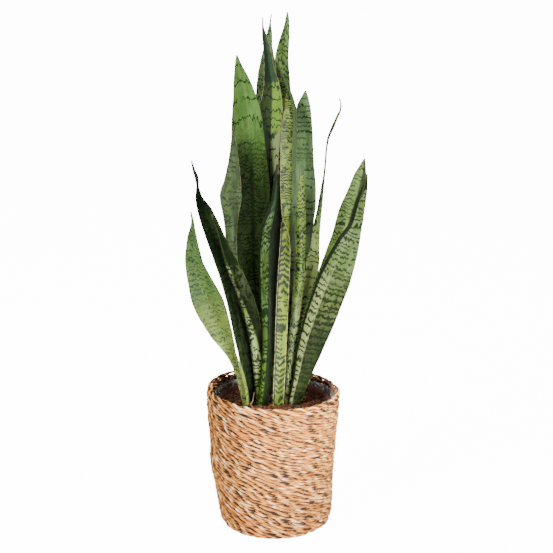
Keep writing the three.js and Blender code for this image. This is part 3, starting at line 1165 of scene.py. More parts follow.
@dataclass
class Leaf:
    """One blade.

    A station is x, y, z of the midrib, width, turn about the upright axis in degrees
    (0 faces the front) and fold in degrees (positive flanks rise towards the face).
    lean bends the leaf back, most at its tip, and keel shifts the fold line sideways,
    in half widths. A half width below nick_full and the like lessens the unevenness.
    """

    name: str
    ripple: float
    ripple_length: float
    lean: float
    stations: tuple[tuple[float, ...], ...]
    finish: LeafFinish
    keel: float = 0
    base_thickness: float = 5.2
    tip_thickness: float = 1.6
    edge_thickness: float = 0.9
    rib_slope: float = 0.6
    edge_round: float = 0.3
    channel_softness: float = 0.35
    ring_gap: float = 2.6
    ripple_power: int = 3
    nick_power: int = 6
    nick_full: float = 9
    ripple_full: float = 12
    relief_full: float = 6
    across: int = 26

    def _lines(self) -> tuple[np.ndarray, np.ndarray, np.ndarray]:
        """Places up the leaf with the six station values there.

        Returns:
            Places, midrib points, and the values width, turn and fold.
        """
        rows = np.array(self.stations, float)
        gaps = np.linalg.norm(np.diff(rows[:, :3], axis=0), axis=1)
        at = np.concatenate([[0], np.cumsum(gaps)])
        s = np.linspace(0, at[-1], int(at[-1] / self.ring_gap) + 2)
        values = np.stack([smooth_line(at, rows[:, k], s) for k in range(6)], axis=-1)
        spine = values[:, :3] + np.outer(self.lean * (s / s[-1]) ** 2, [0, 1, 0])
        return s, spine, values[:, 3:]

    def surface(self, seed: int) -> tuple[Shell, float]:
        """The blade as one closed tube.

        At each ring, side is the turned level direction made square to the spine, and
        face is side x spine. At u, from -1 to 1 across, the blade lies half cos(fold) u
        to the side and half sin(fold) (hypot(u - keel, soft) - soft) along the face, a
        V with a soft bottom. Its thickness falls with 1 - u^2 from the midrib to the
        margin and is laid off square to that V. The ripple grows with u^3 and the nicks
        with u^6, so both are at the margin.

        Args:
            seed: Picks the leaf's own ribs, dents and nicks.

        Returns:
            The shell and the leaf's length.
        """
        s, spine, values = self._lines()
        up = np.gradient(spine, axis=0)
        up /= np.linalg.norm(up, axis=1, keepdims=True)
        turn, fold = np.radians(values[:, 1:]).T
        side = np.stack([np.cos(turn), np.sin(turn), np.zeros_like(turn)], axis=-1)
        side -= up * (side * up).sum(axis=1, keepdims=True)
        side /= np.linalg.norm(side, axis=1, keepdims=True)
        face = np.cross(side, up)

        sweep = -np.cos(np.linspace(0, math.pi, self.across))
        u = np.concatenate([sweep, [1], sweep[::-1], [-1]])
        level = np.repeat([0.5, 0, -0.5, 0], [self.across, 1, self.across, 1])[None]
        u = np.broadcast_to(u, (len(s), len(u)))
        half = values[:, :1] / 2
        soft = self.channel_softness
        reach = math.hypot(1, soft) - soft
        flank = u - self.keel
        bend = np.hypot(flank, soft)
        slope = np.tan(fold)[:, None] * flank / (bend * reach)
        steep = np.hypot(1, slope)
        rib = self.base_thickness + (self.tip_thickness - self.base_thickness) * s / s[-1]
        rib = np.minimum(rib[:, None], self.edge_thickness + self.rib_slope * half)
        thick = self.edge_thickness + (rib - self.edge_thickness) * (1 - u ** 2)

        where = np.stack([u * half, np.broadcast_to(s[:, None], u.shape)], axis=-1)
        wave = self.ripple * np.sin(TURN * s / self.ripple_length)[:, None]
        wave = wave * u ** self.ripple_power
        fine = Relief.RIBS.at(where, seed) + Relief.DENTS.at(where, seed + 1)
        nick = Relief.NICKS.at(where, seed + 2) * np.abs(u) ** self.nick_power

        out = half * np.cos(fold)[:, None] * u - level * thick * slope / steep
        out += np.sign(u) * (nick * np.minimum(1, half / self.nick_full)
                             + np.where(level == 0, self.edge_round, 0))
        lift = (half * np.sin(fold)[:, None] * (bend - soft) / reach
                + wave * np.minimum(1, half / self.ripple_full)
                + fine * np.minimum(1, half / self.relief_full)
                + level * thick / steep)
        points = spine[:, None] + side[:, None] * out[..., None] + face[:, None] * lift[..., None]
        marks = (u, s[:, None], half, np.sign(level))
        return shell_of(points[None], marks), float(s[-1])

    def build(self, seed: int) -> bpy.types.Object:
        """Makes the leaf in its finish, in place of its CAD solid.

        Args:
            seed: Picks its own unevenness and pattern.

        Returns:
            The finished leaf.
        """
        shell, length = self.surface(seed)
        material = self.finish.material(f"{self.name}_skin", length, seed)
        return shell.build(f"{self.name}_blade", material, self.finish.slot, self.name)


# ------------------------------------------------------------------ basket

Profile = Callable[[np.ndarray], np.ndarray]


class Draw(IntEnum):
    """Steps of a ring's seed for what varies along it."""

    OWN_SLACK = 1
    SIZE = 2
    OUT = 4
    UP = 5
    SLACK = 6


@dataclass
class Twist:
    """How grass is laid into a cord, in millimetres.

    Unevenness is given in layers, each a height and a length along the cord.
    """

    plies: int = 2
    lay: float = 35
    orbit: float = 1.42
    depth: float = 1.14
    width: float = 1.78
    swell: float = 0.16
    slack: Pair = (1.3, 60)
    own_slack: tuple[tuple, ...] = ((1.5, 18),)
    own_size: tuple[tuple, ...] = ((0.3, 7), (0.14, 3.2))
    stray_out: Pair = (1.0, 26)
    stray_up: tuple[tuple, ...] = ((1.0, 46), (0.5, 14))
    samples: int = 14
    around: int = 7
    hidden: float = 0.25

    def ring(self, shell: Shell, radius: float, height: float, sway: float, seed: int,
             wobble: float = 0.5) -> None:
        """Adds one closed ring of cord.

        Each ply goes round the ring's line on a circle, one turn in each lay. Its
        outline is an oval that turns with it, the wide way along the circle, and is
        largest where the ply comes to the outside. Size and pace vary smoothly along
        the ring. The marks are the place along the ring, the cosine around the ply,
        how far out of the wall the point stands (-1 to 1), and a number that changes
        where a ply is hidden, that share of a turn before it comes to the front.

        Args:
            shell: The mesh that takes the plies.
            radius: Radius of the ring's line.
            height: Height of the ring's line.
            sway: How far the ring's centre lies to the right.
            seed: Picks the unevenness.
            wobble: How far the line strays up and down.
        """
        turns = round(TURN * radius / self.lay)
        angle = np.linspace(0, TURN, turns * self.samples, endpoint=False) + math.pi / 2
        on_ring = turned(radius, angle, 0.0)
        ply = np.arange(self.plies)[:, None]
        own = on_ring[None] + np.array([0, 0, PLY_STEP]) * ply[..., None]
        phase = (turns * angle + ply * TURN / self.plies
                 + np.random.default_rng(seed).uniform(0, TURN)
                 + uneven(own, self.own_slack, seed + Draw.OWN_SLACK)
                 + uneven(on_ring, (self.slack,), seed + Draw.SLACK))
        size = (1 + uneven(own, self.own_size, seed + Draw.SIZE)
                + self.swell * np.sin(phase))
        line_r = radius + uneven(on_ring, (self.stray_out,), seed + Draw.OUT)
        line_z = height + wobble * uneven(on_ring, self.stray_up, seed + Draw.UP)

        psi = np.linspace(0, TURN, self.around, endpoint=False)
        out = size[..., None] * self.depth * np.cos(psi) + self.orbit
        slip = size[..., None] * self.width * np.sin(psi)
        sine, cosine = np.sin(phase)[..., None], np.cos(phase)[..., None]
        r = line_r[None, :, None] + out * sine + slip * cosine
        z = line_z[None, :, None] + out * cosine - slip * sine
        tubes = turned(r, angle[None, :, None], z) + np.array([sway, 0, 0])
        along = (angle * radius)[None, :, None] + PLY_STEP * ply[..., None]
        stands_out = (r - line_r[None, :, None]) / (self.orbit + self.depth)
        shown = np.floor(phase / TURN + self.hidden) % turns
        blade = BLADE_STEP * (seed * self.plies + ply) + TURN_STEP * shown
        shell.add(tubes, (along, np.cos(psi), stands_out, blade[..., None]), Ends.JOINED)


@dataclass
class GrassEnds:
    """Flat tapering ends of grass that lift off the wall, in millimetres.

    A value is drawn at random between the first two numbers of its range. A third
    number above 1 draws it nearer to the first. fall is an angle in radians.
    """

    count: int = 420
    start: tuple[float, ...] = (0, TURN)
    foot: tuple[float, ...] = (226, 6, 1.3)
    length: tuple[float, ...] = (7, 22)
    fall: tuple[float, ...] = (-0.15, 0.7)
    lift: tuple[float, ...] = (0.4, 4.2, 1.5)
    half_width: tuple[float, ...] = (0.5, 0.95)
    least_width: float = 0.08
    narrowing: float = 0.6
    flatness: float = 0.2
    off_wall: float = 0.1
    off_ground: float = 0.3
    samples: int = 7
    around: int = 4

    def shell(self, radius_at: Profile, sway_at: Profile) -> Shell:
        """Scatters the ends over the wall.

        A point at t, from 0 to 1 along an end, lies t length along a line that falls
        to the right on the wall, and lift t^2 out from it.

        Args:
            radius_at: The wall's outer radius at a height.
            sway_at: How far its centre lies to the right at a height.

        Returns:
            The shell with all the ends.
        """
        rng = np.random.default_rng(Seed.GRASS_ENDS)

        def draw(low: float, high: float, lean: float = 1.0) -> np.ndarray:
            """A random value for each end, nearer to low as lean grows."""
            return low + (high - low) * rng.uniform(0, 1, (self.count, 1, 1)) ** lean

        t = np.linspace(0, 1, self.samples)[None, :, None]
        psi = np.linspace(0, TURN, self.around, endpoint=False)[None, None]
        start, foot, length = draw(*self.start), draw(*self.foot), draw(*self.length)
        fall, lift = draw(*self.fall), draw(*self.lift)
        z = foot - t * length * np.sin(fall)
        radius = radius_at(z) + self.off_wall + lift * t ** 2
        angle = start + t * length * np.cos(fall) / radius
        half = (1 - t) ** self.narrowing * draw(*self.half_width) + self.least_width
        z = np.maximum(z + half * np.sin(psi), self.off_ground)
        tubes = turned(radius + self.flatness * half * np.cos(psi), angle, z)
        tubes[..., 0] += sway_at(z)
        blade = np.arange(self.count)[:, None, None] * BLADE_STEP
        return shell_of(tubes, (t * length, np.cos(psi), 1.0, blade))


@dataclass
class SeagrassBasket:
    """The hand-made basket: rows of twisted grass, a base, a thicker rim, loose ends.

    The outline's points are height, outer radius and how far the wall's centre lies to
    the right. Above loose_from the rows stray more with each millimetre.
    """

    outline: tuple[tuple[float, ...], ...] = (
        (0, 86, 3), (5, 92, 3.5), (16, 95, 3.5), (65, 99.5, 0.5),
        (114, 104.5, -2), (138, 105, -0.5), (204, 109.5, -0.5), (232, 109.5, 0))
    wall: float = 7
    rows: int = 46
    first_row: float = 3.2
    last_row: float = 220
    row_depth: float = 2.6
    row_wobble: float = 0.4
    loose_from: float = 180
    loosening: float = 0.0075
    foot_top: float = 8
    foot_wobble: float = 0.1
    base_row: float = 3.4
    base_inset: float = 6
    base_hole: float = 5
    rim_radius: float = 105
    rim_height: float = 226.3
    rim_wobble: float = 0.3
    tilt: float = 3.6
    tilt_from: float = 170
    tilt_over: float = 55
    core_bottom: float = 2
    core_top: float = 223
    core_half: float = 0.4
    core_rings: int = 60
    core_around: int = 160
    cord: Twist = field(default_factory=Twist)
    rim_cord: Twist = field(default_factory=lambda: Twist(
        plies=3, lay=62, orbit=2.7, depth=1.9, width=2.3, samples=20, around=8))
    ends: GrassEnds = field(default_factory=GrassEnds)

    def radius(self, z: np.ndarray) -> np.ndarray:
        """Outer radius at a height."""
        return smooth_line(*list(zip(*self.outline))[:2], z)

    def sway(self, z: np.ndarray) -> np.ndarray:
        """How far the wall's centre lies to the right at a height."""
        return smooth_line(*list(zip(*self.outline))[::2], z)

    def _settled(self, shell: Shell) -> Shell:
        """Lifts the upper wall on the left and lets it down on the right.

        Args:
            shell: A piece of the basket that stands level.

        Returns:
            The same piece, tilted.
        """
        for points in shell.points:
            share = np.clip((points[:, 2] - self.tilt_from) / self.tilt_over, 0, 1) ** 2
            points[:, 2] -= self.tilt * share * points[:, 0] / self.rim_radius
        return shell

    def _wall(self, heights: np.ndarray, seed: int) -> Shell:
        """Rings of cord up the wall, looser in its last rows.

        Args:
            heights: Height of each ring.
            seed: Picks the unevenness of the first ring.

        Returns:
            The shell with all the rings.
        """
        shell = Shell()
        for i, z in enumerate(heights):
            loose = self.row_wobble + self.loosening * max(0.0, z - self.loose_from)
            self.cord.ring(shell, float(self.radius(z)) - self.row_depth, z,
                           float(self.sway(z)), seed + RING_STEP * i,
                           loose if z > self.foot_top else self.foot_wobble)
        return shell

    def _core(self) -> Shell:
        """The thin layer of stitched grass inside the rows, all in painted shade between them.

        Returns:
            The shell of the layer.
        """
        up = np.linspace(self.core_bottom, self.core_top, self.core_rings)
        z = np.concatenate([up, up[::-1]])
        side = np.repeat([self.core_half, -self.core_half], len(up))
        angle = np.linspace(0, TURN, self.core_around, endpoint=False)[:, None]
        tubes = turned(self.radius(z) - self.row_depth + side, angle, z[None])[None]
        tubes[..., 0] += self.sway(tubes[..., 2])
        # A stands-out mark of 0 puts the whole layer in the painted shade of crevice_shade.
        return shell_of(tubes, (angle * self.rim_radius, 0.0, 0.0, z), Ends.JOINED)

    def _base(self) -> Shell:
        """Rings of cord from the wall's foot to the middle of the underside.

        Returns:
            The shell with those rings.
        """
        shell = Shell()
        rings = np.arange(float(self.radius(0)) - self.base_inset, self.base_hole,
                          -2 * self.row_depth)
        for i, r in enumerate(rings):
            self.cord.ring(shell, r, self.base_row, self.outline[0][2],
                           Seed.BASE + RING_STEP * i, self.foot_wobble)
        return shell

    def _rim(self) -> Shell:
        """The thick cord along the top edge.

        Returns:
            The shell with its one ring.
        """
        shell = Shell()
        self.rim_cord.ring(shell, self.rim_radius, self.rim_height, 0.0, Seed.RIM,
                           self.rim_wobble)
        return shell

    def build(self) -> None:
        """Makes the basket's pieces, which all stand for its one CAD solid."""
        heights = np.linspace(self.first_row, self.last_row, self.rows)
        middle = self.rows // 2
        grass = SeagrassFinish().material("seagrass")
        shells = {
            "basket_rows_lower": self._wall(heights[:middle], Seed.LOWER_ROWS),
            "basket_rows_upper": self._wall(heights[middle:], Seed.UPPER_ROWS),
            "basket_core": self._core(),
            "basket_base": self._base(),
            "basket_rim": self._rim(),
            "basket_loose_ends": self.ends.shell(self.radius, self.sway),
        }
        for name, shell in shells.items():
            self._settled(shell).build(name, grass, Slot.SEAGRASS, "seagrass_basket")


# ------------------------------------------------------------------ liner, pot and mix

Shaper = Callable[[np.ndarray, np.ndarray, np.ndarray], tuple[np.ndarray, np.ndarray]]


def revolved(profile: Sequence[Pair], around: int, shape: Shaper | None = None) -> Shell:
    """Turns a profile that starts and ends on the axis into one closed shell.

    Args:
        profile: Radius and height of each ring.
        around: Points in a ring.
        shape: Moves radius and height at each angle, where the form isn't round.

    Returns:
        A shell with marks of zero, for a finish that reads Object coordinates.
    """
    rings = np.array(profile, float)
    angle = np.linspace(0, TURN, around, endpoint=False)[None]
    r, z = (np.broadcast_to(rings[:, k, None], (len(rings), around)) for k in (0, 1))
    if shape is not None:
        r, z = shape(r, z, angle)
    return shell_of(turned(r, angle, z)[None])


@dataclass
class ClearLiner:
    """Clear film cup inside the basket, creased where it stands free above the pot."""

    basket: SeagrassBasket
    film: float = 0.35
    gap: float = 0.7
    corner: float = 3
    floor: float = 8.6
    wall_from: float = 2
    top: float = 215
    free_from: float = 150
    top_wave: float = 3
    top_waves: int = 3
    top_phase: float = 0.6
    top_ragged: float = 1.2
    top_cell: float = 17
    top_power: int = 4
    crease: float = 3.4
    crease_cell: float = 13
    crease_sharp: float = 1.5
    fine_share: float = 0.35
    fine_cell: float = 5
    upright: float = 0.35
    around: int = 260
    rings: int = 54

    def _creased(self, r: np.ndarray, z: np.ndarray,
                 angle: np.ndarray) -> tuple[np.ndarray, np.ndarray]:
        """Folds pushed inwards, deeper towards the top, and a wavy top edge.

        The folds are longer upwards, because they are read at a share of the height.

        Args:
            r: Radius of each point.
            z: Its height.
            angle: Its angle about the upright axis.

        Returns:
            The new radius and height.
        """
        rise = np.clip((z - self.free_from) / (self.top - self.free_from), 0, 1)
        spots = turned(r, angle, z * self.upright)
        wide, fine, ragged = (
            lumps(spots, cell, Seed.LINER + k)
            for k, cell in enumerate((self.crease_cell, self.fine_cell, self.top_cell)))
        fold = np.abs(wide) ** self.crease_sharp + self.fine_share * np.abs(fine)
        edge = (self.top_wave * np.sin(self.top_waves * angle + self.top_phase)
                + self.top_ragged * ragged)
        return r - self.crease * rise * fold, z + edge * rise ** self.top_power

    def build(self) -> bpy.types.Object:
        """Makes the film.

        Returns:
            The finished liner.
        """
        heights = np.linspace(self.floor + self.wall_from, self.top, self.rings)
        outer = self.basket.radius(heights) - self.basket.wall - self.gap
        corner, inside = outer[0] - self.corner, self.floor + self.film
        profile = [(NEAR_AXIS, self.floor), (corner, self.floor), *zip(outer, heights),
                   *list(zip(outer - self.film, heights))[::-1],
                   (corner, inside), (NEAR_AXIS, inside)]
        shell = revolved(profile, self.around, self._creased)
        for points in shell.points:
            points[:, 0] += self.basket.sway(points[:, 2])
        return shell.build("liner_film", FilmFinish().material("clear_film"),
                           Slot.FILM, "clear_liner")


Corner = tuple[Pair, ...]


@dataclass
class NurseryPot:
    """Thin moulded pot with a rolled lip.

    A corner's points are given by how far they lie out from it and above it.
    """

    floor: float = 9.4
    height: float = 201
    wall: float = 1.6
    base_radius: float = 73
    neck_radius: float = 91
    lip_radius: float = 95
    lip_height: float = 9
    foot_corner: Corner = ((-2, 0), (-0.6, 0.5), (0, 2))
    lip_foot: Corner = ((-0.6, 0.4), (0, 1))
    lip_top: Corner = ((0, -1), (-0.3, -0.3), (-1, 0), (-2, 0), (-2.5, -0.4))
    neck_inside: Corner = ((0.4, 0), (0, -1))
    foot_inside: Corner = ((0, 1.4), (-1.5, 0))
    around: int = 160

    def _profile(self) -> list[Pair]:
        """The wall's outline, from the axis up the outside and down the inside.

        Returns:
            Radius and height of each ring.
        """
        top, inside = self.floor + self.height, self.floor + self.wall
        neck = top - self.lip_height
        corners = (
            (self.base_radius, self.floor, self.foot_corner),
            (self.neck_radius, neck, ((0, 0),)),
            (self.lip_radius, neck, self.lip_foot),
            (self.lip_radius, top, self.lip_top),
            (self.neck_radius - self.wall, neck, self.neck_inside),
            (self.base_radius - self.wall, inside, self.foot_inside))
        bends = [(r + out, z + up) for r, z, corner in corners for out, up in corner]
        return [(NEAR_AXIS, self.floor), *bends, (NEAR_AXIS, inside)]

    def build(self) -> bpy.types.Object:
        """Makes the pot.

        Returns:
            The finished pot.
        """
        plastic = MouldedPlasticFinish().material("pot_plastic")
        return revolved(self._profile(), self.around).build(
            "pot_shell", plastic, Slot.PLASTIC, "nursery_pot")


Ground = Callable[[np.ndarray, np.ndarray], np.ndarray]


def scattered(rng: np.random.Generator, reach: float,
              count: int) -> tuple[np.ndarray, np.ndarray]:
    """Draws places spread evenly over a disc.

    Args:
        rng: Gives the random values.
        reach: The disc's radius.
        count: How many places.

    Returns:
        Places to the right and away from the viewer.
    """
    r = reach * np.sqrt(rng.uniform(0, 1, count))
    angle = rng.uniform(0, TURN, count)
    return r * np.cos(angle), r * np.sin(angle)


@dataclass
class Crumbs:
    """Small uneven clods: rings of a ball with each radius drawn at random."""

    count: int = 900
    reach: float = 87
    size: Pair = (0.8, 2.7)
    uneven: Pair = (0.7, 1.25)
    flatness: float = 0.8
    raised: float = 0.3
    latitudes: tuple[float, ...] = (-55, -10, 30, 65)
    around: int = 6

    def shell(self, ground: Ground) -> Shell:
        """Scatters the crumbs.

        Args:
            ground: Height of the surface at places to the right and away.

        Returns:
            The shell with all the crumbs.
        """
        rng = np.random.default_rng(Seed.CRUMBS)
        x, y = scattered(rng, self.reach, self.count)
        size = rng.uniform(*self.size, self.count)[:, None, None]
        lat = np.radians(self.latitudes)[None, :, None]
        lon = np.linspace(0, TURN, self.around, endpoint=False)[None, None]
        ball = size * rng.uniform(*self.uneven, (self.count, lat.size, self.around))
        tubes = turned(ball * np.cos(lat), lon, self.flatness * ball * np.sin(lat))
        middle = np.stack([x, y, ground(x, y) + self.raised], axis=-1)
        return shell_of(tubes + middle[:, None, None])


@dataclass
class Fibres:
    """Loose coir: thin tubes along shallow arcs that lie on the surface."""

    count: int = 900
    reach: float = 78
    bend: Pair = (-2.2, 2.2)
    length: Pair = (6, 22)
    arch: Pair = (0, 2.6)
    half_width: Pair = (0.25, 0.6)
    narrowing: float = 0.6
    raised: float = 0.3
    samples: int = 8
    around: int = 3

    def shell(self, ground: Ground) -> Shell:
        """Scatters the fibres.

        The heading turns evenly along a fibre. Its middle is lifted by half a sine
        wave and its thickness falls from the middle to both ends.

        Args:
            ground: Height of the surface at places to the right and away.

        Returns:
            The shell with all the fibres.
        """
        rng = np.random.default_rng(Seed.FIBRES)

        def draw(low: float, high: float) -> np.ndarray:
            """A random value for each fibre."""
            return rng.uniform(low, high, self.count)[:, None]

        t = np.linspace(0, 1, self.samples)[None]
        x, y = (place[:, None] for place in scattered(rng, self.reach, self.count))
        heading = draw(0, TURN) + (t - 0.5) * draw(*self.bend)
        step = draw(*self.length) / (self.samples - 1)
        x = x + np.cumsum(step * np.cos(heading), axis=1)
        y = y + np.cumsum(step * np.sin(heading), axis=1)
        z = ground(x, y) + self.raised + draw(*self.arch) * np.sin(math.pi * t)
        spine = np.stack([x, y, z], axis=-1)[:, :, None]
        psi = np.linspace(0, TURN, self.around, endpoint=False)
        taper = 1 - self.narrowing * np.abs(2 * t - 1)
        half = (draw(*self.half_width) * taper)[:, :, None]
        sideways = np.stack([-np.sin(heading), np.cos(heading), np.zeros_like(heading)], -1)
        return shell_of(spine + sideways[:, :, None] * (half * np.cos(psi))[..., None]
                        + np.array([0, 0, 1]) * (half * np.sin(psi))[..., None])


@dataclass
class PottingMix:
    """Coir and peat that fills the pot, with crumbs and loose fibres on top."""

    pot: NurseryPot
    level: float = 205
    sunk: float = 0.4
    wave: float = 1.32
    wave_x: float = 9
    wave_start: float = 1.3
    wave_y: float = 11
    cross_share: float = 0.6
    cross_x: float = 5
    cross_y: float = 6
    fall: float = 2
    fall_radius: float = 90
    lumps: tuple[tuple, ...] = ((1, 8), (0.8, 3.6), (0.4, 1.9))
    gap: float = 0.3
    corner: float = 1.6
    side_inset: float = 0.1
    side_drop: float = 5
    top_inset: float = 0.3
    around: int = 230
    rings: int = 80
    crumbs: Crumbs = field(default_factory=Crumbs)
    fibres: Fibres = field(default_factory=Fibres)

    def height(self, x: np.ndarray, y: np.ndarray) -> np.ndarray:
        """Surface height: the CAD's slow waves, a fall to the wall and fine lumps.

        Args:
            x: Place to the right.
            y: Place away from the viewer.

        Returns:
            The height at each place.
        """
        waves = (np.sin(x / self.wave_x + self.wave_start) * np.cos(y / self.wave_y)
                 + self.cross_share * np.sin(x / self.cross_x - y / self.cross_y))
        fall = self.fall * (x ** 2 + y ** 2) / self.fall_radius ** 2
        fine = uneven(np.stack([x, y], axis=-1), self.lumps, Seed.MIX)
        return self.level + self.wave * waves - fall + fine - self.sunk

    def _mound(self) -> Shell:
        """The filling, closed underneath.

        Returns:
            The shell, whose top rings follow the surface height.
        """
        inner = self.pot.neck_radius - self.pot.wall - self.gap - self.side_inset
        foot = self.pot.base_radius - self.pot.wall - self.gap
        bottom = self.pot.floor + self.pot.wall + self.gap
        sides = [(NEAR_AXIS, bottom), (foot - self.corner, bottom),
                 (foot, bottom + self.corner), (inner, self.level - self.side_drop)]
        top = [(r, self.level)
               for r in np.linspace(inner - self.top_inset, NEAR_AXIS, self.rings)]

        def lay(r: np.ndarray, z: np.ndarray, angle: np.ndarray) -> tuple:
            """Lifts the top rings to the surface height."""
            surface = self.height(r * np.cos(angle), r * np.sin(angle))
            return r, np.where(z == self.level, surface, z)

        return revolved(sides + top, self.around, lay)

    def build(self) -> None:
        """Makes the filling, its crumbs and its fibres."""
        damp = PottingMixFinish().material("potting_mix")
        coir = PottingMixFinish(deep="#5e3827", light="#96633f").material("coir_fibre")
        for name, shell, finish in (("mound", self._mound(), damp),
                                    ("crumbs", self.crumbs.shell(self.height), damp),
                                    ("fibres", self.fibres.shell(self.height), coir)):
            shell.build(f"potting_mix_{name}", finish, Slot.SOIL, "potting_soil")


@dataclass
class DryBract:
    """Dead papery strips at the front of the clump, in millimetres.

    Each is a narrow curled ribbon that follows a line of places, in x, y and z.
    """

    strips: tuple[tuple[tuple[float, ...], ...], ...] = (
        ((-40, -24, 205), (-37, -26, 211), (-34, -28, 217), (-32.5, -29, 224), (-31, -29, 232)),
        ((-33, -29, 205), (-36, -30, 210), (-39, -31, 213.5), (-43, -31, 214), (-46, -30, 211)),
    )
    half_width: float = 1.7
    thickness: float = 0.4
    curl: float = 0.35
    twist: float = 0.5
    narrowing: float = 0.8
    raised: float = 0.3
    place_length: float = 7
    samples: int = 30
    around: int = 10

    def _strip(self, rows: Sequence[Sequence[float]]) -> tuple[np.ndarray, tuple]:
        """One ribbon: an oval carried up its line, wide to the side and thin forwards.

        Args:
            rows: Places on the ribbon's line.

        Returns:
            Its points and marks.
        """
        points = np.array(rows, float)
        at = np.arange(len(points), dtype=float)
        t = np.linspace(0, at[-1], self.samples)
        spine = np.stack([smooth_line(at, points[:, k], t) for k in range(3)], axis=-1)
        psi = np.linspace(0, TURN, self.around, endpoint=False)
        half = self.half_width * (1 - self.narrowing * t / at[-1])
        wide = half[:, None] * np.cos(psi)
        thin = self.thickness * np.sin(psi) - self.curl * wide ** 2
        turn = t[:, None] * self.twist
        across = np.stack([np.cos(turn), -np.sin(turn), 0 * turn], axis=-1)
        ahead = np.stack([-np.sin(turn), -np.cos(turn), self.raised + 0 * turn], axis=-1)
        tube = spine[:, None] + across * wide[..., None] + ahead * thin[..., None]
        return tube[None], (np.cos(psi), t[:, None] * self.place_length, 0.0, 0.0)

    def build(self) -> bpy.types.Object:
        """Makes the strips, which lie loose on the potting mix.

        Returns:
            The finished strips, one piece.
        """
        shell = Shell()
        for rows in self.strips:
            shell.add(*self._strip(rows))
        return shell.build("dry_bract", DryHuskFinish().material("dry_husk"), Slot.SOIL)


# ------------------------------------------------------------------ studio

@dataclass(frozen=True)
class Lamp:
    """A square soft light, in metres, watts and degrees."""

    name: str
    place: Place
    aim: float
    size: float
    power: float
    spread: float = 180

    def build(self) -> None:
        """Adds the light, turned to its aim, a height on the upright axis."""
        data = bpy.data.lights.new(self.name, "AREA")
        data.size = self.size
        data.energy = self.power
        data.spread = math.radians(self.spread)
        data.color = LAMP_TINT
        lamp = bpy.data.objects.new(self.name, data)
        lamp.location = self.place
        x, y, z = self.place
        tip = math.atan2(math.hypot(x, y), z - self.aim)
        lamp.rotation_euler = (tip, 0, math.atan2(y, x) + math.pi / 2)
        bpy.context.scene.collection.objects.link(lamp)


@dataclass
class Studio:
    """Pale floor, soft lights from the left and the photograph's camera, in metres."""

    eye: Place = (0.0052, -1.8417, 0.8756)
    look_down: float = 0.2429
    focal_pixels: float = 1175.7
    sensor: float = 36.0
    farthest: float = 100
    ambient: float = 0.16
    glow: float = 14.0
    floor_radius: float = 9.0
    floor_sides: int = 96
    floor_grey: float = 0.6
    floor_roughness: float = 0.9
    lamps: tuple[Lamp, ...] = (
        Lamp("key", (-2.0, -1.9, 1.7), 0.4, 1.1, 150),
        Lamp("fill", (1.5, -2.6, 0.7), 0.3, 1.6, 32),
        Lamp("basket_fill", (1.2, -2.3, 0.2), 0.06, 0.5, 3.4, 24),
        Lamp("mouth_fill", (1.6, -1.3, 0.9), 0.21, 0.3, 0.9, 8),
        Lamp("top", (-0.5, 0.6, 2.6), 0.4, 1.2, 22),
    )

    def _camera(self) -> None:
        """Stands the camera where the photograph was taken from."""
        data = bpy.data.cameras.new("camera")
        data.sensor_width = self.sensor
        data.lens = self.focal_pixels / PHOTO_PIXELS * self.sensor
        data.clip_end = self.farthest
        camera = bpy.data.objects.new("camera", data)
        camera.location = self.eye
        camera.rotation_euler = (math.pi / 2 - self.look_down, 0, 0)
        bpy.context.scene.collection.objects.link(camera)
        bpy.context.scene.camera = camera

    def _glow(self, kit: NodeKit, given: float) -> Wire:
        """Light that falls on the object with a given strength but shows white."""
        seen = kit.wire("ShaderNodeLightPath", {}, {}, "Is Camera Ray")
        return kit.mix(seen, grey(given), grey(self.glow))

    def _floor(self) -> None:
        """Lays a wide round pale floor."""
        mesh = bpy.data.meshes.new("floor")
        angle = np.linspace(0, TURN, self.floor_sides, endpoint=False)
        mesh.from_pydata(turned(self.floor_radius, angle, 0.0).tolist(), [],
                         [list(range(self.floor_sides))])
        kit = FinishKit("floor")
        mesh.materials.append(kit.finish({
            "Base Color": grey(self.floor_grey),
            "Roughness": self.floor_roughness,
            "Emission Color": self._glow(kit, 0.0),
            "Emission Strength": 1.0,
        }))
        floor = bpy.data.objects.new("floor", mesh)
        bpy.context.scene.collection.objects.link(floor)

    def _surroundings(self) -> None:
        """White surroundings that look brighter than the light they give."""
        world = bpy.data.worlds.new("surroundings")
        world.use_nodes = True
        kit = NodeKit(world.node_tree)
        back = kit.nodes["Background"]
        kit.feed(back.inputs["Strength"], 1.0)
        kit.feed(back.inputs["Color"], self._glow(kit, self.ambient))
        bpy.context.scene.world = world

    def build(self) -> None:
        """Sets the whole studio up."""
        self._camera()
        for lamp in self.lamps:
            lamp.build()
        self._surroundings()
        self._floor()


# ------------------------------------------------------------------ the plant's leaves

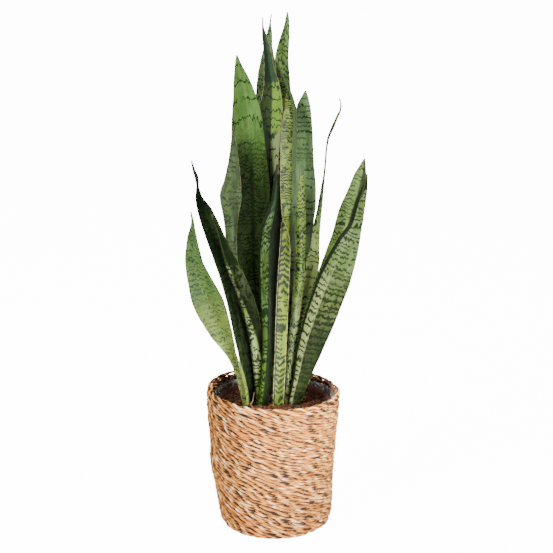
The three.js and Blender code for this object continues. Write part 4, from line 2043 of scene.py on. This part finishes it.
LEAVES = (
    Leaf(
        "leaf_low_left", ripple=1.0, ripple_length=90, lean=-22,
        stations=(
            (-37, -20, 170, 20, -60, 50), (-40, -20, 210, 22, -60, 50),
            (-47, -21, 250, 24, -54, 46), (-60.5, -22, 290, 26, -42, 38),
            (-70, -22, 313, 32, -26, 30), (-81, -23, 336, 43, -17, 24),
            (-100, -24, 382, 54, -8, 20), (-114.5, -25, 420, 42, -5, 17),
            (-125, -26, 460, 27, -4, 14), (-126.5, -27, 492, 16, -2, 12),
            (-125, -28, 517, 4.5, 0, 10), (-127.5, -28, 535, 1.6, 0, 8),
        ),
        finish=LeafFinish(
            ground="#7a8645", pale="#929d5a", dark="#29412f", foot="#a8a86a", margin="#27341f",
            margin_strength=0.9, band_gap=9, band_width=0.36, band_strength=1.7, broken=0.41,
            chevron=6, chevron_foot=4, slant=9, zigzag=2.2, jag_width=4, cluster=45, fleck=0.12,
            dry_tip=10, upper_from=225, upper_blend=40,
            upper=LeafFinish(
                ground="#55703c", pale="#7d9353", dark="#182d22", band_gap=8, band_width=0.4,
                band_strength=1.7, broken=0.35, chevron=6, chevron_foot=4, slant=9, zigzag=2.2,
                jag_width=4, cluster=60, fleck=0.08)),
    ),
    Leaf(
        "leaf_dark_left", ripple=0.8, ripple_length=110, lean=3,
        stations=(
            (-40, 3, 170, 25, 45, 36), (-41, 3, 210, 28, 44, 34), (-47, 5, 270, 34, 42, 30),
            (-57, 7, 334, 40, 38, 25), (-71, 7, 408, 40, 36, 21), (-89, 7, 462, 38, 36, 18),
            (-110, 8, 519, 30, 42, 16), (-121, 10, 551, 16, 57, 14),
            (-121, 11, 566, 5, 40, 11), (-122, 11, 578, 6, 10, 10), (-126, 12, 589, 4, 5, 7),
            (-130, 12, 605, 1.5, 0, 5),
        ),
        # Its near-black skin is partly painted shade of a face turned from the lamps; its pale
        # grey margin is a painted highlight.
        finish=LeafFinish(
            ground="#293321", pale="#3b472b", dark="#10170d", foot="#2b3619", margin="#77776c",
            margin_strength=0.6, band_gap=11, band_strength=0.9, left_depth=0.1, right_depth=0.3,
            gloss=0.06, slot=Slot.LEAF_DARK),
    ),
    Leaf(
        "leaf_keeled_left", ripple=0.6, ripple_length=100, lean=-18,
        stations=(
            (-22, -8, 170, 22, -25, -40), (-24, -8, 206, 24, -25, -40),
            (-29.5, -8, 283, 28, -27, -37), (-38.5, -9, 340, 35, -29, -36),
            (-48, -11, 380, 37, -30, -34), (-62, -10, 427, 29, -25, -24),
            (-77, -9, 472, 14, -18, -14), (-85, -8, 498, 6, -9, -8), (-97, -8, 526, 1.6, 0, 0),
        ),
        # Its pale left flank is painted light; its near-black right flank is painted shade,
        # darkest low down.
        finish=LeafFinish(
            ground="#8fa062", pale="#dde2b6", dark="#10190c", foot="#8d9a62", margin="#8f9a4a",
            margin_strength=0.3, band_gap=8, band_width=0.6, band_strength=1.6, zigzag=1.6,
            fleck=0.5, solid_tip=88, solid_colour="#34472c", midline=-0.6, midline_foot=1.05,
            right_ink=1.3, right_depth=0.84, depth_blur=0.12, low_right_depth=0.985,
            low_right_end=300, gloss=0.04, slot=Slot.LEAF_DARK),
    ),
    Leaf(
        "leaf_broad_rear_left", ripple=1.4, ripple_length=130, lean=12,
        stations=(
            (-20, 25, 170, 26, 10, 34), (-22, 25, 200, 29, 10, 32), (-26, 27, 290, 37, 9, 28),
            (-32, 33, 390, 46, 8, 23), (-36, 36, 470, 58, 6, 17), (-37, 34, 545, 65, 6, 14),
            (-40, 32, 619, 57, 4, 13), (-42, 30, 672, 49, 2, 13), (-45, 30, 700, 39, 2, 12),
            (-50, 30, 728, 26, 1, 11), (-55, 30, 752, 12, 0, 10), (-57.5, 30, 769, 1.6, 0, 8),
        ),
        # Painted shade low down, on the right flank and in the groove along the fold; painted
        # highlight on the upper keel line.
        finish=LeafFinish(
            ground="#5d7540", pale="#7a9458", dark="#101f0c", band_gap=8, band_width=0.34,
            band_strength=1.5, broken=0.42, zigzag=1.6, jag_width=3, wander=10, cluster=26,
            fleck=0.5, midline=0.1, depth_blur=0.8, low_depth=0.8, low_end=590,
            low_right_depth=0.95, low_right_end=480, valley_shade=0.92, valley_top=560, gloss=0.05,
            slot=Slot.LEAF_DARK, upper_from=470, upper_blend=45,
            upper=LeafFinish(
                ground="#6d8d50", pale="#90ab6b", dark="#2a4228", streaks=0.1, band_gap=30,
                band_width=0.16, band_strength=1.4, broken=0.4, chevron=8, zigzag=2.6,
                jag_width=3.2, wander=5, cluster=40, fleck=0.3, fleck_size=1.2, midline=0.1,
                crest=0.12)),
    ),
    Leaf(
        "leaf_turned_rear_left", ripple=0.5, ripple_length=120, lean=3,
        stations=(
            (-41, 24, 170, 20, 30, 26), (-43, 23, 200, 21, 30, 24), (-50, 22, 290, 22, 27, 14),
            (-60, 18.5, 376, 20, 24, 0), (-67, 17, 454, 17, 16, -8),
            (-68, 17, 490, 20, 12, -9), (-68, 15, 520, 27, 10, -8), (-68, 14, 547, 35, 5, -8),
            (-65, 14, 572, 27, 4, -8), (-63, 15, 610, 15, 2, -8), (-63, 16, 645, 5, 0, -7),
            (-64, 16, 661, 1.5, 0, -6),
        ),
        finish=LeafFinish(
            ground="#44552d", pale="#6d7d50", dark="#1f3317", streaks=0.2, margin="#d4b29a",
            margin_strength=0.8, band_gap=9, band_width=0.4, band_strength=1.3, zigzag=2,
            fleck=0.3),
    ),
    Leaf(
        "leaf_tall_grooved", ripple=0.6, ripple_length=120, lean=14,
        stations=(
            (-8, 41, 170, 20, -10, 32), (-8, 41, 200, 22, -10, 30), (-4, 41, 330, 29, -9, 27),
            (-3, 42, 480, 32, -9, 24), (-4.5, 41, 600, 31, -8, 25),
            (-3.5, 39, 653, 38, -8, 26), (-2, 38, 682, 41, -8, 26),
            (-1.5, 38, 712, 31, -6, 24), (-6, 39, 747, 18, -4, 23), (-9, 39, 771, 13, -3, 20),
            (-14, 40, 799, 7, -2, 15), (-16.5, 40, 814, 2.2, -1, 12),
            (-16.5, 40, 827, 1.4, 0, 10),
        ),
        # Its left flank, here and in the upper look, and its lower part are painted shade.
        finish=LeafFinish(
            ground="#8f9a68", pale="#aab584", dark="#15281c", left_lighting_tone="#4d5a30",
            margin="#d8b79c", margin_strength=0.75, band_gap=24, band_width=0.3,
            band_strength=1.6, broken=0.38, chevron=-14, zigzag=2.8, jag_width=5, wander=6,
            cluster=60, fleck=0.2, dry_tip=22, left_depth=0.68, low_depth=0.9, low_end=330,
            gloss=0.2, slot=Slot.LEAF_DARK, upper_from=478,
            upper=LeafFinish(
                ground="#8aa652", pale="#a0b95e", dark="#1a3026", left_lighting_tone="#44552c",
                band_width=0.3, band_strength=1.6, broken=0.36, zigzag=3.2, jag_width=4, wander=5,
                cluster=60, fleck=0.12, solid_tip=102, solid_colour="#22402c", left_ink=1.5,
                left_depth=0.35)),
    ),
    Leaf(
        "leaf_tall_rear", ripple=1.0, ripple_length=120, lean=45,
        stations=(
            (-16, 62, 170, 22, 5, 30), (-16, 62, 200, 25, 5, 28), (-8, 68, 449, 46, 3, 20),
            (-5, 72, 615, 50, 2, 16), (-8, 71, 704, 42, 1, 14), (-9.5, 70, 740, 30, 1, 12),
            (-8.8, 69, 764, 20, 1, 11), (-8, 67, 781, 13, 0, 10), (-6, 67, 800, 8.5, 0, 9),
            (-4.8, 66, 818, 2, 0, 9), (-3, 66, 830, 1.4, 0, 8),
        ),
        finish=LeafFinish(
            ground="#6a8250", pale="#8ea46a", dark="#182a20", band_gap=7, band_strength=1.6,
            zigzag=1.6, fleck=0.5, dry_tip=20, slot=Slot.LEAF_DARK),
    ),
    Leaf(
        "leaf_twisted_centre", ripple=0.4, ripple_length=90, lean=14,
        stations=(
            (7, -18, 170, 18, 0, 26), (8, -18, 205, 19, 0, 25), (11, -20, 283, 19.5, 0, 23),
            (15, -22, 386, 21, -4, 21), (18.5, -20, 450, 20, -8, 24),
            (22, -18, 488, 22, -28, 44), (26, -16, 512, 26, -85, 54),
            (27, -13, 538, 29, -140, 42), (26.5, -8, 577, 31, -155, 32),
            (27, 3, 623, 31, -156, 30), (28, 12, 655, 30, -156, 30),
            (29.5, 23, 684, 25, -158, 32), (25.5, 35, 702, 23, -158, 32),
            (19.5, 42, 718, 20, -156, 30), (12, 45, 736, 14, -154, 24),
            (7, 46, 750, 6.5, -150, 16), (4, 46, 757, 1.6, -150, 10),
        ),
        # Painted shade at its foot and a dark band on its left margin; the upper look's pale
        # flank tone is painted light.
        finish=LeafFinish(
            ground="#7d8a3c", pale="#a6ae5a", dark="#15241a", margin="#e6cfa4",
            margin_strength=0.8, band_gap=9.6, band_width=0.66, band_strength=1.6, broken=0.38,
            chevron=6, chevron_foot=-8, zigzag=1.5, wander=3, cluster=60, fleck=0.3,
            low_depth=0.3, low_end=110, left_shade=2.2, upper_from=345,
            upper=LeafFinish(
                ground="#94a554", pale="#aebb6a", dark="#16281c", left_lighting_tone="#a8bc90",
                band_gap=4.6, band_width=0.75, band_strength=1.15, broken=0.44, zigzag=1.2,
                jag_width=2.2, wander=2, fleck=0.55, fleck_size=1.3, midline=-0.15, left_ink=0.2,
                depth_blur=0.15)),
    ),
    Leaf(
        "leaf_tall_right", ripple=0.8, ripple_length=110, lean=30,
        stations=(
            (10, 52, 170, 20, 0, 32), (10, 52, 200, 22, 0, 30), (8, 55, 400, 32, 0, 22),
            (12, 57, 600, 34, 0, 18), (15, 58, 700, 27, 0, 14), (14, 58, 735, 25, 0, 12),
            (13.5, 58, 758, 22.5, 0, 12), (16.5, 58, 782, 17.5, 0, 12),
            (20.5, 58, 804, 11.5, 0, 11), (22.6, 58, 825, 5, 0, 10),
            (22.4, 58, 834, 1.5, 0, 8),
        ),
        finish=LeafFinish(
            ground="#83a056", pale="#abc574", dark="#24332d", band_gap=10, band_width=0.52,
            band_strength=1.7, broken=0.37, chevron=8, chevron_foot=8, zigzag=2.6, jag_width=3,
            wander=6, cluster=24, fleck=0.22),
    ),
    Leaf(
        "leaf_rear_right", ripple=1.0, ripple_length=120, lean=28,
        stations=(
            (25, 36, 170, 21, 0, 34), (26, 36, 200, 22, 0, 33), (30, 35, 305, 31, 0, 29),
            (34.5, 34, 400, 40, 0, 25), (40.5, 33, 468, 44, 0, 23), (46.5, 34, 535, 48, 0, 20),
            (48, 37, 598, 37, 0, 19), (48.5, 39, 659, 29, 0, 17), (49, 39, 685, 22, 0, 14),
            (51, 39, 701, 11, 0, 11), (52, 39, 711, 1.6, 0, 8),
        ),
        # Its lower part, up to 400 mm along, is painted shade.
        finish=LeafFinish(
            ground="#7c9660", pale="#a2b28c", dark="#243a1c", streaks=0.42, band_gap=14,
            band_width=0.25, band_strength=0.9, broken=0.54, zigzag=1.4, wander=4, fleck=0.2,
            low_depth=0.6, low_end=400, gloss=0.2, slot=Slot.LEAF_DARK, upper_from=430,
            upper_blend=30,
            upper=LeafFinish(
                ground="#7b9462", pale="#97ad7c", dark="#2a4028", band_gap=9.2, band_width=0.36,
                band_strength=1.2, broken=0.42, zigzag=1.4, jag_width=2.6, wander=4, fleck=0.2)),
    ),
    Leaf(
        "leaf_narrow_right", ripple=0.4, ripple_length=80, lean=-8,
        stations=(
            (22, 0, 170, 14, -10, -42), (23.5, 0, 203, 14, -10, -42),
            (27, 1, 276, 15, -9, -40), (34, 2, 336, 20, -8, -39), (38.5, 2, 385, 20, -8, -37),
            (43, 2, 440, 17.5, -6, -32), (44, 3, 504, 17.5, -3, -25),
            (44.5, 4, 545, 14, -1, -20), (45.5, 4, 573, 9.5, 0, -17),
            (46.6, 4, 592, 1.6, 0, -15),
        ),
        finish=LeafFinish(
            ground="#a0aa6e", pale="#d6dca4", dark="#1c2e24", band_gap=9, band_width=0.5,
            band_strength=1.3, broken=0.44, zigzag=3, jag_width=2.6, wander=4, cluster=22,
            fleck=0.46, fleck_size=1.3, left_shade=1.5, upper_from=215, upper_blend=40,
            upper=LeafFinish(
                ground="#8fa053", pale="#c3cf7c", dark="#233824", band_gap=8, band_width=0.55,
                band_strength=1.3, broken=0.44, zigzag=2.6, jag_width=3, wander=4, cluster=22,
                fleck=0.4, fleck_size=1.4)),
    ),
    Leaf(
        "leaf_rolled_right", ripple=0.0, ripple_length=80, lean=8,
        stations=(
            (44, 19, 170, 15, 0, 36), (44.5, 19, 200, 16, 0, 34), (48, 17, 310, 20, -4, 25),
            (56, 15, 392, 20, -8, 17), (63.5, 13, 436, 23, -10, 12), (67, 12, 464, 16, -4, 16),
            (69.2, 11, 496, 13, 7, 26), (74, 9, 532, 9, 18, 32), (78, 7, 563, 5.5, 16, 34),
            (81.5, 5, 590, 3.2, 14, 36), (83.4, 3, 618, 3.0, 10, 38), (86, 1, 640, 3.8, 8, 34),
            (92, 0, 656, 4.6, 6, 28), (100, -1, 675, 3.6, 3, 20), (105.6, -2, 690, 2.2, 2, 14),
            (105.5, -3, 698, 1.6, 0, 12), (103, -3, 704, 1.5, 0, 10),
        ),
        finish=LeafFinish(
            ground="#a3ae6c", pale="#bcc682", dark="#212d10", band_gap=11, band_strength=0.9,
            fleck=0.3, dry_tip=12, slot=Slot.LEAF_DARK, upper_from=325, upper_blend=35,
            upper=LeafFinish(
                ground="#5f7c42", pale="#7d9a55", dark="#1f2f16", band_gap=11, band_width=0.6,
                band_strength=1.3, fleck=0.5)),
    ),
    Leaf(
        "leaf_keeled_right", ripple=0.5, ripple_length=70, lean=-26, keel=-0.2,
        stations=(
            (28, -16, 170, 22, -20, -38), (32, -16, 206, 25, -20, -38),
            (43, -18, 252, 34, -20, -36), (54, -20, 299, 49, -20, -33),
            (71, -23, 355, 57, -20, -30), (87, -25, 402, 58, -19, -27),
            (102, -26, 442, 51, -17, -22), (116, -26, 480, 38, -15, -17),
            (128, -26, 512, 22, -11, -9), (135, -26, 548, 16.5, -6, -4),
            (140.5, -26, 571, 9.5, -3, -2), (144.5, -26, 594, 1.6, 0, 0),
        ),
        # Its pale left flank is painted light, the left margin band painted shadow, the low right
        # flank painted shade, the keel line a painted highlight.
        finish=LeafFinish(
            ground="#7d8650", pale="#a0a874", dark="#121c0c", left_lighting_tone="#c0c78e",
            margin="#6f7442", band_gap=10.5, band_width=0.56, band_strength=1.6, broken=0.28,
            zigzag=2.0, jag_width=4.5, wander=2.5, cluster=60, fleck=0.5, fleck_size=1.3,
            midline=-0.2, left_ink=0.6, right_depth=0.45, low_right_depth=0.9, low_right_end=240,
            left_shade=6.5, crest=0.22, gloss=0.12, upper_from=270, upper_blend=30,
            upper=LeafFinish(
                ground="#86965f", pale="#a7b384", dark="#263821", band_gap=8, band_width=0.55,
                band_strength=1.5, broken=0.38, zigzag=1.6, jag_width=3.4, wander=3, cluster=60,
                fleck=0.25, midline=-0.2, left_ink=0.8, right_depth=0.1, left_shade=6.5,
                crest=0.1)),
    ),
    Leaf(
        "leaf_low_right", ripple=0.8, ripple_length=90, lean=10,
        stations=(
            (36, 7, 170, 15, 15, 30), (39, 7, 202, 17, 15, 28), (49, 9, 300, 26, 12, 22),
            (68, 7, 373, 33, 11, 18), (90, 3, 431, 34, 10, 15), (109, 1, 485, 33, 8, 12),
            (119, 0, 523, 32, 6, 11), (130, -1, 555, 26, 4, 10), (137, -2, 580, 21, 2, 9),
            (141, -2, 595, 12, 1, 9), (144.4, -3, 610, 1.5, 0, 8),
        ),
        # Its right flank is painted shade.
        finish=LeafFinish(
            ground="#98b268", pale="#b0c07e", dark="#26391f", band_gap=7, band_strength=1.1,
            zigzag=1.6, wander=5, fleck=0.3, midline=0.3, right_depth=0.85),
    ),
    Leaf(
        "leaf_keeled_front", ripple=0.5, ripple_length=90, lean=0,
        stations=(
            (-21, -25, 170, 23, -10, -42), (-19, -25, 204, 25, -10, -42),
            (-13, -24, 262, 22, -8, -40), (-9, -22, 330, 27, -6, -37),
            (-8.5, -18, 384, 34, -5, -35), (-7.5, -12, 455, 38, -4, -29),
            (-4, -8, 495, 34, -2, -25), (1.5, -4, 523, 23, -2, -21), (5, 0, 547, 15, -1, -17),
            (6.5, 3, 573, 10.5, 0, -13), (8.8, 5, 590, 1.6, 0, -10),
        ),
        # Its right flank is near-black painted shade, and its left 4 mm a band of painted shadow.
        finish=LeafFinish(
            ground="#566a38", pale="#7d9468", dark="#1a2c12", foot="#78921c", streaks=0.45,
            band_gap=9, band_width=0.6, band_strength=1.8, broken=0.42, chevron=8, zigzag=2,
            fleck=0.45, solid_tip=58, solid_colour="#2f4a28", right_depth=0.99, left_shade=4,
            gloss=0.1, slot=Slot.LEAF_DARK),
    ),
)


def main() -> None:
    """Builds the studio, the basket with its pot, and the leaves."""
    logging.basicConfig(level=logging.INFO, format="%(name)s: %(message)s")
    Studio().build()
    basket = SeagrassBasket()
    basket.build()
    ClearLiner(basket).build()
    pot = NurseryPot()
    pot.build()
    PottingMix(pot).build()
    DryBract().build()
    for seed, leaf in enumerate(LEAVES, start=1):
        leaf.build(seed)


if __name__ == "__main__":
    main()
